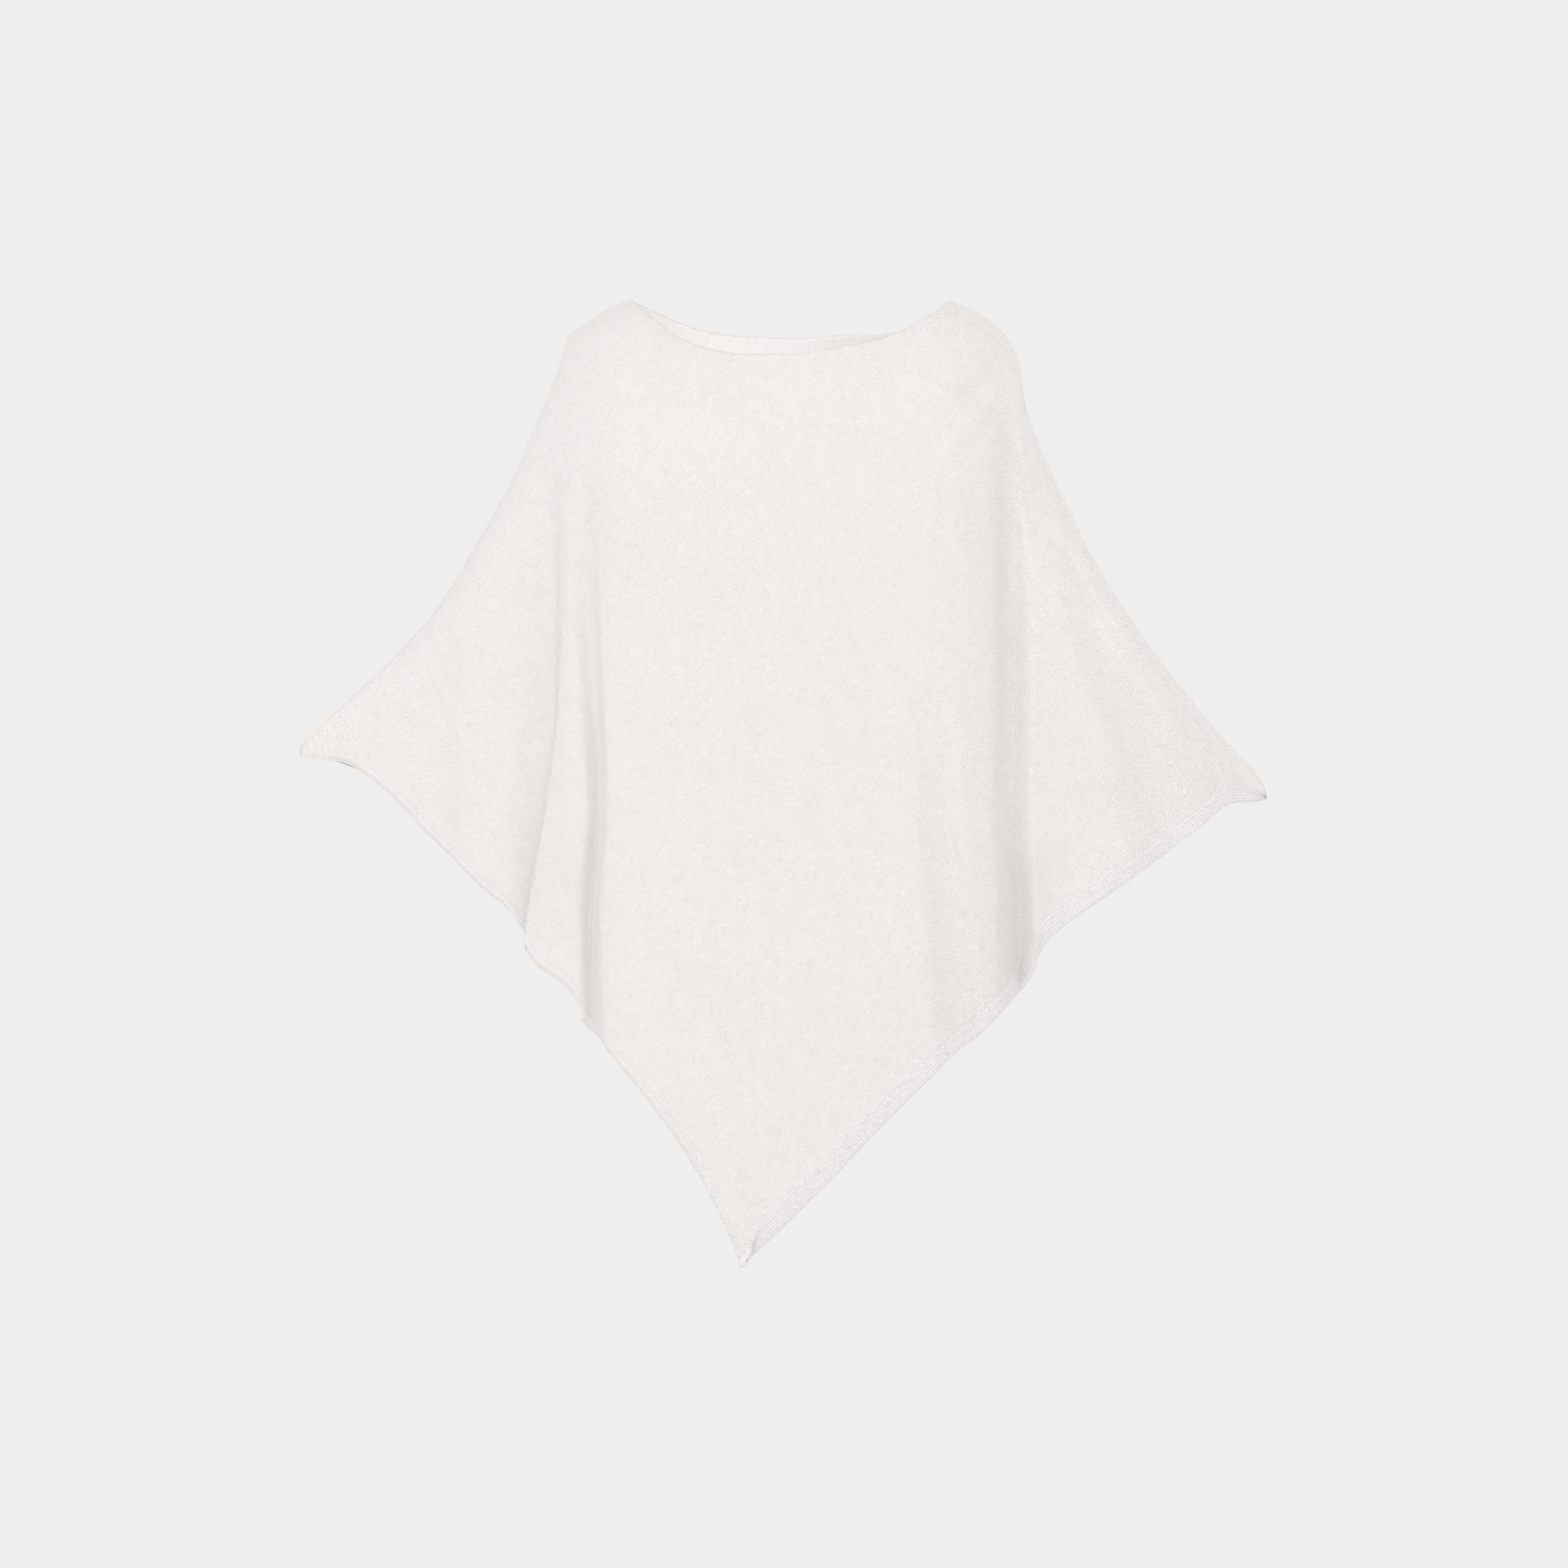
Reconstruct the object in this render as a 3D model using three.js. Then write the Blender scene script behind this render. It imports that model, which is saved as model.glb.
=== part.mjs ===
// Knitted poncho in its worn, hollow form: a front and a back panel that meet along the arms, with a narrow
// trim round the neck and a tubular band on one lower edge of each panel.
// Millimetres, +Z up. The front faces -Y. The origin lies midway between the two neck corners, at the height
// of the shoulders that carry it.
import * as THREE from "three";

// Driving sizes
const WALL = 2.5;
const SEAM_GAP = 0.3;
const NECK_HALF_WIDTH = 151;
const NECK_ROUNDNESS = 2.2;
const TRIM_WIDTH = 5;
const TRIM_RAISE = 0.7;
const TRIM_INNER_TUCK = 0.1;
const BAND_WIDTH = 14;
const BAND_SEAM = 0.4;
const BAND_START_LENGTH = 18;
const BAND_BEGINS = 7;
const LARGEST_BAND_SHARE = 0.4;
const LARGEST_ROUND_SHARE = 0.5;
const STEEPEST_BAND = 1.5;
const SLOPE_REACH = 15;
const FOLD_FREE_DEPTH = 70;
const CHEST_LEVEL = -260;
const POINT_LEVEL = -900;
const POINT_DRAWN_IN = 12;
const BODY_HALF_WIDTH = 220;

// The grid's columns beside the front's left ridge run along it, so that its edge stays crisp
const FOLLOWED_COLUMN = -214;
const FOLLOWING_REACH = 75;

// Grid rows, and the band's section from its upper edge to its lower one
const ROUND_ROWS = 6;
const HANG_ROWS = 12;
const BAND_SECTION = [
  { share: 0, raise: 0 },
  { share: 0.2, raise: 0.9 },
  { share: 0.8, raise: 0.9 },
  { share: 1, raise: 0.2 },
];

// Ridge: the top line over both arms and shoulders, seen from the front. Between the neck corners it is only
// the line that the neck is cut from.
const RIDGE = [
  { x: -469, z: -427 },
  { x: -450, z: -407 },
  { x: -385, z: -347 },
  { x: -342, z: -300 },
  { x: -298, z: -229 },
  { x: -266, z: -171 },
  { x: -244, z: -120 },
  { x: -222, z: -66 },
  { x: -212, z: -36 },
  { x: -200, z: -25 },
  { x: -165, z: -5 },
  { x: -151, z: 0 },
  { x: -95, z: 7 },
  { x: -57, z: 16 },
  { x: -12, z: 25 },
  { x: 34, z: 25 },
  { x: 79, z: 13 },
  { x: 118, z: 2 },
  { x: 151, z: -1 },
  { x: 167, z: -8 },
  { x: 190, z: -22 },
  { x: 205, z: -37 },
  { x: 214, z: -53 },
  { x: 221, z: -93 },
  { x: 229, z: -122 },
  { x: 250, z: -170 },
  { x: 283, z: -239 },
  { x: 326, z: -309 },
  { x: 381, z: -382 },
  { x: 424, z: -432 },
  { x: 446, z: -456 },
  { x: 453, z: -470 },
];

// Hems, seen from the front: left arm tip, point, right arm tip
const FRONT_HEM = [
  { x: -469, z: -433 },
  { x: -449, z: -439 },
  { x: -430, z: -441 },
  { x: -394, z: -463 },
  { x: -339, z: -517 },
  { x: -294, z: -559 },
  { x: -262, z: -586 },
  { x: -250, z: -602 },
  { x: -241, z: -612 },
  { x: -235, z: -622 },
  { x: -226, z: -635 },
  { x: -212, z: -646 },
  { x: -200, z: -664 },
  { x: -190, z: -686 },
  { x: -162, z: -722 },
  { x: -132, z: -758 },
  { x: -86, z: -825 },
  { x: -57, z: -882 },
  { x: -46, z: -906 },
  { x: -37, z: -898 },
  { x: 34, z: -829 },
  { x: 94, z: -767 },
  { x: 154, z: -710 },
  { x: 184, z: -685 },
  { x: 200, z: -670 },
  { x: 213, z: -656 },
  { x: 224, z: -636 },
  { x: 233, z: -616 },
  { x: 255, z: -594 },
  { x: 298, z: -564 },
  { x: 342, z: -535 },
  { x: 387, z: -502 },
  { x: 422, z: -479 },
  { x: 445, z: -478 },
  { x: 453, z: -476 },
];
const BACK_HEM = [
  { x: -469, z: -432 },
  { x: -449, z: -436 },
  { x: -394, z: -458 },
  { x: -339, z: -508 },
  { x: -294, z: -548 },
  { x: -255, z: -577 },
  { x: -232, z: -606 },
  { x: -212, z: -640 },
  { x: -185, z: -678 },
  { x: -140, z: -735 },
  { x: -90, z: -808 },
  { x: -56, z: -864 },
  { x: -38, z: -893 },
  { x: -20, z: -880 },
  { x: 34, z: -824 },
  { x: 94, z: -764 },
  { x: 140, z: -716 },
  { x: 172, z: -682 },
  { x: 198, z: -640 },
  { x: 225, z: -606 },
  { x: 255, z: -584 },
  { x: 298, z: -556 },
  { x: 342, z: -526 },
  { x: 387, z: -496 },
  { x: 422, z: -474 },
  { x: 445, z: -474 },
  { x: 453, z: -474 },
];

// Fullness: how far a panel stands from the plane of the arms, and the height over which it rounds out to it
const FRONT_FULLNESS = [
  { x: -469, depth: 5, round: 20 },
  { x: -449, depth: 8, round: 30 },
  { x: -394, depth: 20, round: 50 },
  { x: -342, depth: 38, round: 66 },
  { x: -300, depth: 54, round: 84 },
  { x: -262, depth: 64, round: 120 },
  { x: -244, depth: 67, round: 145 },
  { x: -220, depth: 78, round: 175 },
  { x: -200, depth: 93, round: 190 },
  { x: -175, depth: 110, round: 190 },
  { x: -151, depth: 118, round: 190 },
  { x: -95, depth: 126, round: 230 },
  { x: 0, depth: 131, round: 282 },
  { x: 95, depth: 126, round: 232 },
  { x: 151, depth: 118, round: 190 },
  { x: 175, depth: 110, round: 190 },
  { x: 200, depth: 99, round: 205 },
  { x: 220, depth: 94, round: 225 },
  { x: 255, depth: 85, round: 130 },
  { x: 300, depth: 75, round: 92 },
  { x: 342, depth: 58, round: 74 },
  { x: 387, depth: 38, round: 55 },
  { x: 422, depth: 18, round: 36 },
  { x: 453, depth: 5, round: 16 },
];
const BACK_FULLNESS = [
  { x: -469, depth: 5, round: 20 },
  { x: -449, depth: 8, round: 30 },
  { x: -394, depth: 20, round: 50 },
  { x: -342, depth: 36, round: 66 },
  { x: -300, depth: 48, round: 84 },
  { x: -250, depth: 62, round: 135 },
  { x: -222, depth: 77, round: 170 },
  { x: -190, depth: 95, round: 165 },
  { x: -151, depth: 106, round: 160 },
  { x: -95, depth: 114, round: 195 },
  { x: 0, depth: 118, round: 232 },
  { x: 95, depth: 114, round: 195 },
  { x: 151, depth: 106, round: 160 },
  { x: 190, depth: 95, round: 175 },
  { x: 222, depth: 78, round: 215 },
  { x: 255, depth: 66, round: 130 },
  { x: 300, depth: 52, round: 90 },
  { x: 342, depth: 40, round: 72 },
  { x: 387, depth: 26, round: 52 },
  { x: 422, depth: 14, round: 34 },
  { x: 453, depth: 5, round: 16 },
];

// Folds: each row is a level on the fold's line, from its top down. rise is how far it stands out, or in when
// negative. left and right are its widths to either side, and lean is how far its crest tips towards -X.
const FRONT_FOLDS = {
  rightSideValley: [
    { z: -90, x: 209, rise: 0, left: 30, right: 10, lean: 0 },
    { z: -250, x: 206, rise: -14, left: 40, right: 12, lean: 0 },
    { z: -470, x: 212, rise: -27, left: 46, right: 13, lean: 0 },
    { z: -680, x: 213, rise: -30, left: 46, right: 14, lean: 0 },
  ],
  leftSideRidge: [
    { z: -110, x: -212, rise: 0, left: 12, right: 16, lean: 0 },
    { z: -250, x: -208, rise: 9, left: 12, right: 24, lean: 2 },
    { z: -380, x: -207, rise: 15, left: 13, right: 32, lean: 6 },
    { z: -488, x: -219, rise: 24, left: 13, right: 44, lean: 9 },
    { z: -600, x: -231, rise: 32, left: 14, right: 54, lean: 11 },
    { z: -670, x: -235, rise: 34, left: 14, right: 56, lean: 12 },
  ],
  leftSideValley: [
    { z: -184, x: -183, rise: 0, left: 12, right: 18, lean: 0 },
    { z: -374, x: -182, rise: -12, left: 12, right: 18, lean: 0 },
    { z: -465, x: -178, rise: -23, left: 12, right: 19, lean: 0 },
    { z: -586, x: -184, rise: -30, left: 13, right: 20, lean: 0 },
    { z: -710, x: -174, rise: -30, left: 13, right: 20, lean: 0 },
  ],
  rightInnerValley: [
    { z: -350, x: 131, rise: 0, left: 26, right: 20, lean: 0 },
    { z: -500, x: 142, rise: -6, left: 28, right: 20, lean: 0 },
    { z: -700, x: 159, rise: -11, left: 30, right: 20, lean: 0 },
  ],
  rightArmHollow: [
    { z: -190, x: 252, rise: 0, left: 30, right: 30, lean: 0 },
    { z: -305, x: 285, rise: -8, left: 34, right: 38, lean: 0 },
    { z: -412, x: 322, rise: -11, left: 38, right: 44, lean: 0 },
    { z: -500, x: 353, rise: -7, left: 40, right: 44, lean: 0 },
  ],
  leftArmValley: [
    { z: -300, x: -332, rise: 0, left: 26, right: 28, lean: 0 },
    { z: -400, x: -338, rise: -6, left: 28, right: 30, lean: 0 },
    { z: -530, x: -338, rise: -8, left: 28, right: 32, lean: 0 },
  ],
  leftArmRidge: [
    { z: -300, x: -264, rise: 0, left: 28, right: 18, lean: 0 },
    { z: -430, x: -268, rise: 6, left: 30, right: 18, lean: 0 },
    { z: -590, x: -276, rise: 9, left: 32, right: 18, lean: 0 },
  ],
};
const BACK_FOLDS = {
  leftSideValley: [
    { z: -120, x: -200, rise: 0, left: 18, right: 34, lean: 0 },
    { z: -380, x: -196, rise: -20, left: 20, right: 46, lean: 0 },
    { z: -670, x: -200, rise: -30, left: 24, right: 50, lean: 0 },
  ],
  rightSideRidge: [
    { z: -190, x: 204, rise: 0, left: 26, right: 18, lean: 0 },
    { z: -420, x: 210, rise: 16, left: 32, right: 19, lean: -4 },
    { z: -620, x: 218, rise: 25, left: 38, right: 20, lean: -8 },
  ],
  rightSideValley: [
    { z: -240, x: 170, rise: 0, left: 18, right: 20, lean: 0 },
    { z: -450, x: 167, rise: -15, left: 20, right: 22, lean: 0 },
    { z: -690, x: 170, rise: -26, left: 22, right: 24, lean: 0 },
  ],
  middleFold: [
    { z: -300, x: 36, rise: 0, left: 50, right: 44, lean: 0 },
    { z: -520, x: 46, rise: -8, left: 56, right: 46, lean: 0 },
    { z: -820, x: 40, rise: -13, left: 50, right: 44, lean: 0 },
  ],
  leftInnerFold: [
    { z: -340, x: -108, rise: 0, left: 36, right: 40, lean: 0 },
    { z: -520, x: -116, rise: -9, left: 36, right: 42, lean: 0 },
    { z: -780, x: -106, rise: -14, left: 34, right: 40, lean: 0 },
  ],
  leftArmValley: [
    { z: -270, x: -304, rise: 0, left: 34, right: 34, lean: 0 },
    { z: -400, x: -318, rise: -9, left: 36, right: 36, lean: 0 },
    { z: -540, x: -322, rise: -12, left: 36, right: 36, lean: 0 },
  ],
  rightArmValley: [
    { z: -290, x: 300, rise: 0, left: 34, right: 36, lean: 0 },
    { z: -410, x: 322, rise: -8, left: 36, right: 40, lean: 0 },
    { z: -530, x: 338, rise: -10, left: 36, right: 40, lean: 0 },
  ],
};

// Columns: each row starts a stretch of the grid that is split evenly, finer over the folds
const OPENING_HALF_WIDTH = NECK_HALF_WIDTH + TRIM_WIDTH + SEAM_GAP;
const NECK_COLUMNS = [
  { x: -OPENING_HALF_WIDTH, columns: 1 },
  { x: -154, columns: 1 },
  { x: -148, columns: 1 },
  { x: -136, columns: 4 },
  { x: -46, columns: 8 },
  { x: 136, columns: 1 },
  { x: 148, columns: 1 },
  { x: 154, columns: 1 },
];
const FRONT_COLUMNS = [
  { x: -469, columns: 3 },
  { x: -440, columns: 6 },
  { x: -290, columns: 2 },
  { x: -262, columns: 8 },
  { x: -214, columns: 2 },
  { x: -196, columns: 6 },
  ...NECK_COLUMNS,
  { x: OPENING_HALF_WIDTH, columns: 3 },
  { x: 197, columns: 6 },
  { x: 229, columns: 2 },
  { x: 255, columns: 7 },
  { x: 430, columns: 3 },
  { x: 453, columns: 0 },
];
const BACK_COLUMNS = [
  { x: -469, columns: 3 },
  { x: -440, columns: 6 },
  { x: -290, columns: 4 },
  { x: -225, columns: 5 },
  { x: -185, columns: 2 },
  ...NECK_COLUMNS,
  { x: OPENING_HALF_WIDTH, columns: 6 },
  { x: 205, columns: 5 },
  { x: 245, columns: 2 },
  { x: 280, columns: 6 },
  { x: 430, columns: 3 },
  { x: 453, columns: 0 },
];

// A smooth curve through a table's rows that never swings past them
function curveThrough(rows, along, value) {
  const at = rows.map((row) => row[along]);
  const held = rows.map((row) => row[value]);
  const step = at.slice(1).map((a, i) => a - at[i]);
  const slope = step.map((h, i) => (held[i + 1] - held[i]) / h);
  const tangent = at.map((_, i) => {
    if (i === 0) return slope[0];
    if (i === at.length - 1) return slope[i - 1];
    if (slope[i - 1] * slope[i] <= 0) return 0;
    const before = 2 * step[i] + step[i - 1];
    const after = step[i] + 2 * step[i - 1];
    return (before + after) / (before / slope[i - 1] + after / slope[i]);
  });
  return (x) => {
    if (x <= at[0]) return held[0];
    if (x >= at[at.length - 1]) return held[at.length - 1];
    let i = 0;
    while (x > at[i + 1]) i += 1;
    const t = (x - at[i]) / step[i];
    const rest = 1 - t;
    const first = (1 + 2 * t) * rest * rest * held[i];
    const second = t * t * (3 - 2 * t) * held[i + 1];
    return first + second + t * rest * step[i] * (rest * tangent[i] - t * tangent[i + 1]);
  };
}

// A fold's curves run down its line, so its rows are turned to rise with depth below the origin
function foldOf(rows) {
  const down = rows.map((row) => ({ ...row, fall: -row.z }));
  const fold = { top: rows[0].z };
  for (const value of ["x", "rise", "left", "right", "lean"]) {
    fold[value] = curveThrough(down, "fall", value);
  }
  return fold;
}

function smoothStep(t) {
  const c = THREE.MathUtils.clamp(t, 0, 1);
  return c * c * (3 - 2 * c);
}

const ridge = curveThrough(RIDGE, "x", "z");

function panelOf({ facing, neckDepth, hem, fullness, folds, followed, columns, pointX, bandSide }) {
  return {
    facing,
    followed: followed ? foldOf(followed) : null,
    neckDepth,
    pointX,
    bandSide,
    hem: curveThrough(hem, "x", "z"),
    depth: curveThrough(fullness, "x", "depth"),
    round: curveThrough(fullness, "x", "round"),
    folds: Object.values(folds).map(foldOf),
    columns: columns.flatMap(({ x, columns: count }, i) =>
      count === 0
        ? [x]
        : Array.from({ length: count }, (_, k) => x + ((columns[i + 1].x - x) * k) / count),
    ),
  };
}

const FRONT = panelOf({
  facing: -1,
  neckDepth: 95,
  hem: FRONT_HEM,
  fullness: FRONT_FULLNESS,
  folds: FRONT_FOLDS,
  followed: FRONT_FOLDS.leftSideRidge,
  columns: FRONT_COLUMNS,
  pointX: -46,
  bandSide: 1,
});
const BACK = panelOf({
  facing: 1,
  neckDepth: 75,
  hem: BACK_HEM,
  fullness: BACK_FULLNESS,
  folds: BACK_FOLDS,
  columns: BACK_COLUMNS,
  pointX: -38,
  bandSide: -1,
});

function roundHeight(panel, s) {
  return Math.min(panel.round(s), LARGEST_ROUND_SHARE * (ridge(s) - panel.hem(s)));
}

// Where the folds push a point that would lie at column s and height z
function foldShift(panel, s, z) {
  let out = 0;
  let along = 0;
  for (const fold of panel.folds) {
    if (z > fold.top) continue;
    const from = s - fold.x(-z);
    const share = from / (from < 0 ? fold.left(-z) : fold.right(-z));
    if (Math.abs(share) >= 1) continue;
    const swell = (1 - share * share) ** 2;
    out += fold.rise(-z) * swell;
    along -= fold.lean(-z) * swell;
  }
  const free = smoothStep((ridge(s) - z) / FOLD_FREE_DEPTH);
  return { out: out * free, along: along * free };
}

// A point of a panel's outer face: the angle runs over the rounded top, and drop is the height below it
function facePoint(panel, s, angle, drop) {
  const z = ridge(s) - roundHeight(panel, s) * (1 - Math.cos(angle)) - drop;
  const lowered = THREE.MathUtils.clamp((CHEST_LEVEL - z) / (CHEST_LEVEL - POINT_LEVEL), 0, 1);
  const drawnIn = POINT_DRAWN_IN * lowered * Math.max(0, 1 - (s / BODY_HALF_WIDTH) ** 2);
  const shift = foldShift(panel, s, z);
  const depth = (panel.depth(s) - drawnIn) * Math.sin(angle) + shift.out;
  return new THREE.Vector3(s + shift.along, panel.facing * (depth + SEAM_GAP / 2), z);
}

// The neck's edge as an angle over the rounded top, for a loop of the given half width
function neckAngle(panel, s, halfWidth) {
  const share = Math.min(1, Math.abs(s) / halfWidth);
  const loop = (1 - share ** NECK_ROUNDNESS) ** (1 / NECK_ROUNDNESS);
  const depth = (panel.neckDepth + halfWidth - NECK_HALF_WIDTH) * loop;
  return Math.asin(Math.min(1, depth / panel.depth(s)));
}

// How much longer an upright line is than one drawn square to the hem
function slantOfHem(panel, s) {
  const rise = panel.hem(s + SLOPE_REACH) - panel.hem(s - SLOPE_REACH);
  const slope = rise / (2 * SLOPE_REACH);
  return Math.hypot(1, Math.min(STEEPEST_BAND, Math.abs(slope)));
}

// The band's height up from the hem, which is its width where the hem is level
function bandHeight(panel, s) {
  const fromPoint = (s - panel.pointX) * panel.bandSide;
  if (fromPoint <= 0) return 0;
  const tall = LARGEST_BAND_SHARE * (ridge(s) - panel.hem(s));
  const full = BAND_WIDTH * slantOfHem(panel, s);
  return Math.min(full, tall) * smoothStep(fromPoint / BAND_START_LENGTH);
}

// Where a column of the grid runs at a row: straight down, or along the followed ridge
function columnAt(panel, column, row) {
  const share = (column - FOLLOWED_COLUMN) / FOLLOWING_REACH;
  if (!panel.followed || Math.abs(share) >= 1) return column;
  const straight = rowPoint(panel, column, row);
  const aside = panel.followed.x(-straight.z) - FOLLOWED_COLUMN;
  return column + aside * (1 - share * share) ** 2 * Math.min(1, row);
}

// A point by its row: 0 at the top edge, 1 where the rounding ends, 2 at the lower edge
function rowPoint(panel, s, row) {
  const edge = neckAngle(panel, s, OPENING_HALF_WIDTH);
  const angle = edge + (Math.PI / 2 - edge) * Math.min(1, row);
  const band = bandHeight(panel, s);
  const foot = band > 0 ? band + BAND_SEAM * slantOfHem(panel, s) : 0;
  const hang = ridge(s) - roundHeight(panel, s) - panel.hem(s) - foot;
  return facePoint(panel, s, angle, hang * Math.max(0, row - 1));
}

function bandPoint(panel, s, share) {
  const hang = ridge(s) - roundHeight(panel, s) - panel.hem(s);
  return facePoint(panel, s, Math.PI / 2, hang - bandHeight(panel, s) * (1 - share));
}

// The outward direction where a point function is given a column and a row
function outward(point, panel, s, row, rowEnd) {
  const reach = 0.4;
  const rowStep = 0.01;
  const first = panel.columns[0];
  const last = panel.columns[panel.columns.length - 1];
  const across = point(panel, Math.min(last, s + reach), row).sub(
    point(panel, Math.max(first, s - reach), row),
  );
  const down = point(panel, s, Math.min(rowEnd, row + rowStep)).sub(
    point(panel, s, Math.max(0, row - rowStep)),
  );
  return down.cross(across).multiplyScalar(-panel.facing).normalize();
}

// A closed wall between an outer and an inner grid of points, as [column][row]
function wallGeometry(outer, inner, facing) {
  const wide = outer.length;
  const tall = outer[0].length;
  const positions = [...outer.flat(), ...inner.flat()].flatMap((p) => [p.x, p.y, p.z]);
  const at = (side, i, j) => side * wide * tall + i * tall + j;
  const index = [];
  const face = (a, b, c, d) => {
    if (facing < 0) index.push(a, b, c, a, c, d);
    else index.push(a, c, b, a, d, c);
  };
  for (let i = 0; i < wide - 1; i += 1) {
    for (let j = 0; j < tall - 1; j += 1) {
      face(at(0, i, j), at(0, i, j + 1), at(0, i + 1, j + 1), at(0, i + 1, j));
      face(at(1, i, j), at(1, i + 1, j), at(1, i + 1, j + 1), at(1, i, j + 1));
    }
    face(at(0, i + 1, 0), at(1, i + 1, 0), at(1, i, 0), at(0, i, 0));
    const low = tall - 1;
    face(at(0, i + 1, low), at(0, i, low), at(1, i, low), at(1, i + 1, low));
  }
  for (let j = 0; j < tall - 1; j += 1) {
    face(at(0, 0, j + 1), at(0, 0, j), at(1, 0, j), at(1, 0, j + 1));
    const end = wide - 1;
    face(at(0, end, j), at(0, end, j + 1), at(1, end, j + 1), at(1, end, j));
  }
  const geometry = new THREE.BufferGeometry();
  geometry.setAttribute("position", new THREE.Float32BufferAttribute(positions, 3));
  geometry.setIndex(index);
  geometry.computeVertexNormals();
  return geometry;
}

function panelGeometry(panel) {
  const rows = [
    ...Array.from({ length: ROUND_ROWS }, (_, k) => k / ROUND_ROWS),
    ...Array.from({ length: HANG_ROWS + 1 }, (_, k) => 1 + k / HANG_ROWS),
  ];
  const wall = panel.columns.map((column) =>
    rows.map((row) => {
      const s = columnAt(panel, column, row);
      const outer = rowPoint(panel, s, row);
      const out = outward(rowPoint, panel, s, row, 2);
      return { outer, inner: outer.clone().addScaledVector(out, -WALL) };
    }),
  );
  const outer = wall.map((column) => column.map((point) => point.outer));
  const inner = wall.map((column) => column.map((point) => point.inner));
  return wallGeometry(outer, inner, panel.facing);
}

function hemBandGeometry(panel) {
  const starts = panel.pointX + panel.bandSide * BAND_BEGINS;
  const columns = panel.columns.filter((s) => (s - starts) * panel.bandSide > 0);
  if (panel.bandSide > 0) columns.unshift(starts);
  else columns.push(starts);
  const moved = (s, share, by) =>
    bandPoint(panel, s, share).addScaledVector(outward(bandPoint, panel, s, share, 1), by);
  const outer = columns.map((s) => BAND_SECTION.map(({ share, raise }) => moved(s, share, raise)));
  const inner = columns.map((s) =>
    BAND_SECTION.map(({ share, raise }) => moved(s, share, -WALL - raise)),
  );
  return wallGeometry(outer, inner, panel.facing);
}

// The neck trim is one ring: along the front from left to right, then along the back to its start
function neckTrimGeometry() {
  const loopShare = (s) => s / OPENING_HALF_WIDTH;
  const inNeck = (panel) =>
    panel.columns.filter((s) => Math.abs(s) < OPENING_HALF_WIDTH - 1e-6).map(loopShare);
  const stations = [
    { panel: FRONT, share: -1 },
    ...inNeck(FRONT).map((share) => ({ panel: FRONT, share })),
    { panel: BACK, share: 1 },
    ...inNeck(BACK).reverse().map((share) => ({ panel: BACK, share })),
  ];
  const low = NECK_HALF_WIDTH + TRIM_WIDTH;
  const onLoop = ({ panel, share }, halfWidth) => {
    const s = share * halfWidth;
    const p = facePoint(panel, s, neckAngle(panel, s, halfWidth), 0);
    if (Math.abs(share) === 1) p.y = 0;
    return p;
  };
  const section = stations.map((station, i) => {
    const before = stations[(i + stations.length - 1) % stations.length];
    const after = stations[(i + 1) % stations.length];
    const foot = onLoop(station, low);
    const head = onLoop(station, NECK_HALF_WIDTH);
    const along = onLoop(after, low).sub(onLoop(before, low));
    const out = along.cross(head.clone().sub(foot)).normalize();
    const middle = foot.clone().lerp(head, 0.5);
    return [
      foot.clone().addScaledVector(out, TRIM_RAISE / 2),
      middle.clone().addScaledVector(out, TRIM_RAISE),
      head.clone().addScaledVector(out, TRIM_RAISE / 3),
      head.clone().addScaledVector(out, -WALL - TRIM_RAISE / 3),
      middle.clone().addScaledVector(out, -WALL - TRIM_RAISE),
      foot.clone().lerp(head, TRIM_INNER_TUCK).addScaledVector(out, -WALL - TRIM_RAISE / 2),
    ];
  });
  const sides = section[0].length;
  const positions = section.flat().flatMap((p) => [p.x, p.y, p.z]);
  const index = [];
  section.forEach((_, i) => {
    const next = (i + 1) % section.length;
    for (let k = 0; k < sides; k += 1) {
      const turn = (k + 1) % sides;
      const [a, b] = [i * sides + k, i * sides + turn];
      const [c, d] = [next * sides + turn, next * sides + k];
      index.push(a, c, b, a, d, c);
    }
  });
  const geometry = new THREE.BufferGeometry();
  geometry.setAttribute("position", new THREE.Float32BufferAttribute(positions, 3));
  geometry.setIndex(index);
  geometry.computeVertexNormals();
  return geometry;
}

function knit(colour) {
  return new THREE.MeshStandardMaterial({ color: colour, roughness: 0.95, metalness: 0 });
}

const poncho = new THREE.Group();
function add(name, geometry, colour) {
  const mesh = new THREE.Mesh(geometry, knit(colour));
  mesh.name = name;
  poncho.add(mesh);
}
add("front_panel", panelGeometry(FRONT), 0xf1edea);
add("back_panel", panelGeometry(BACK), 0xf1edea);
add("neck_trim", neckTrimGeometry(), 0xefeae6);
add("front_hem_band", hemBandGeometry(FRONT), 0xefeae6);
add("back_hem_band", hemBandGeometry(BACK), 0xefeae6);

export default poncho;
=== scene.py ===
import math

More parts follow.
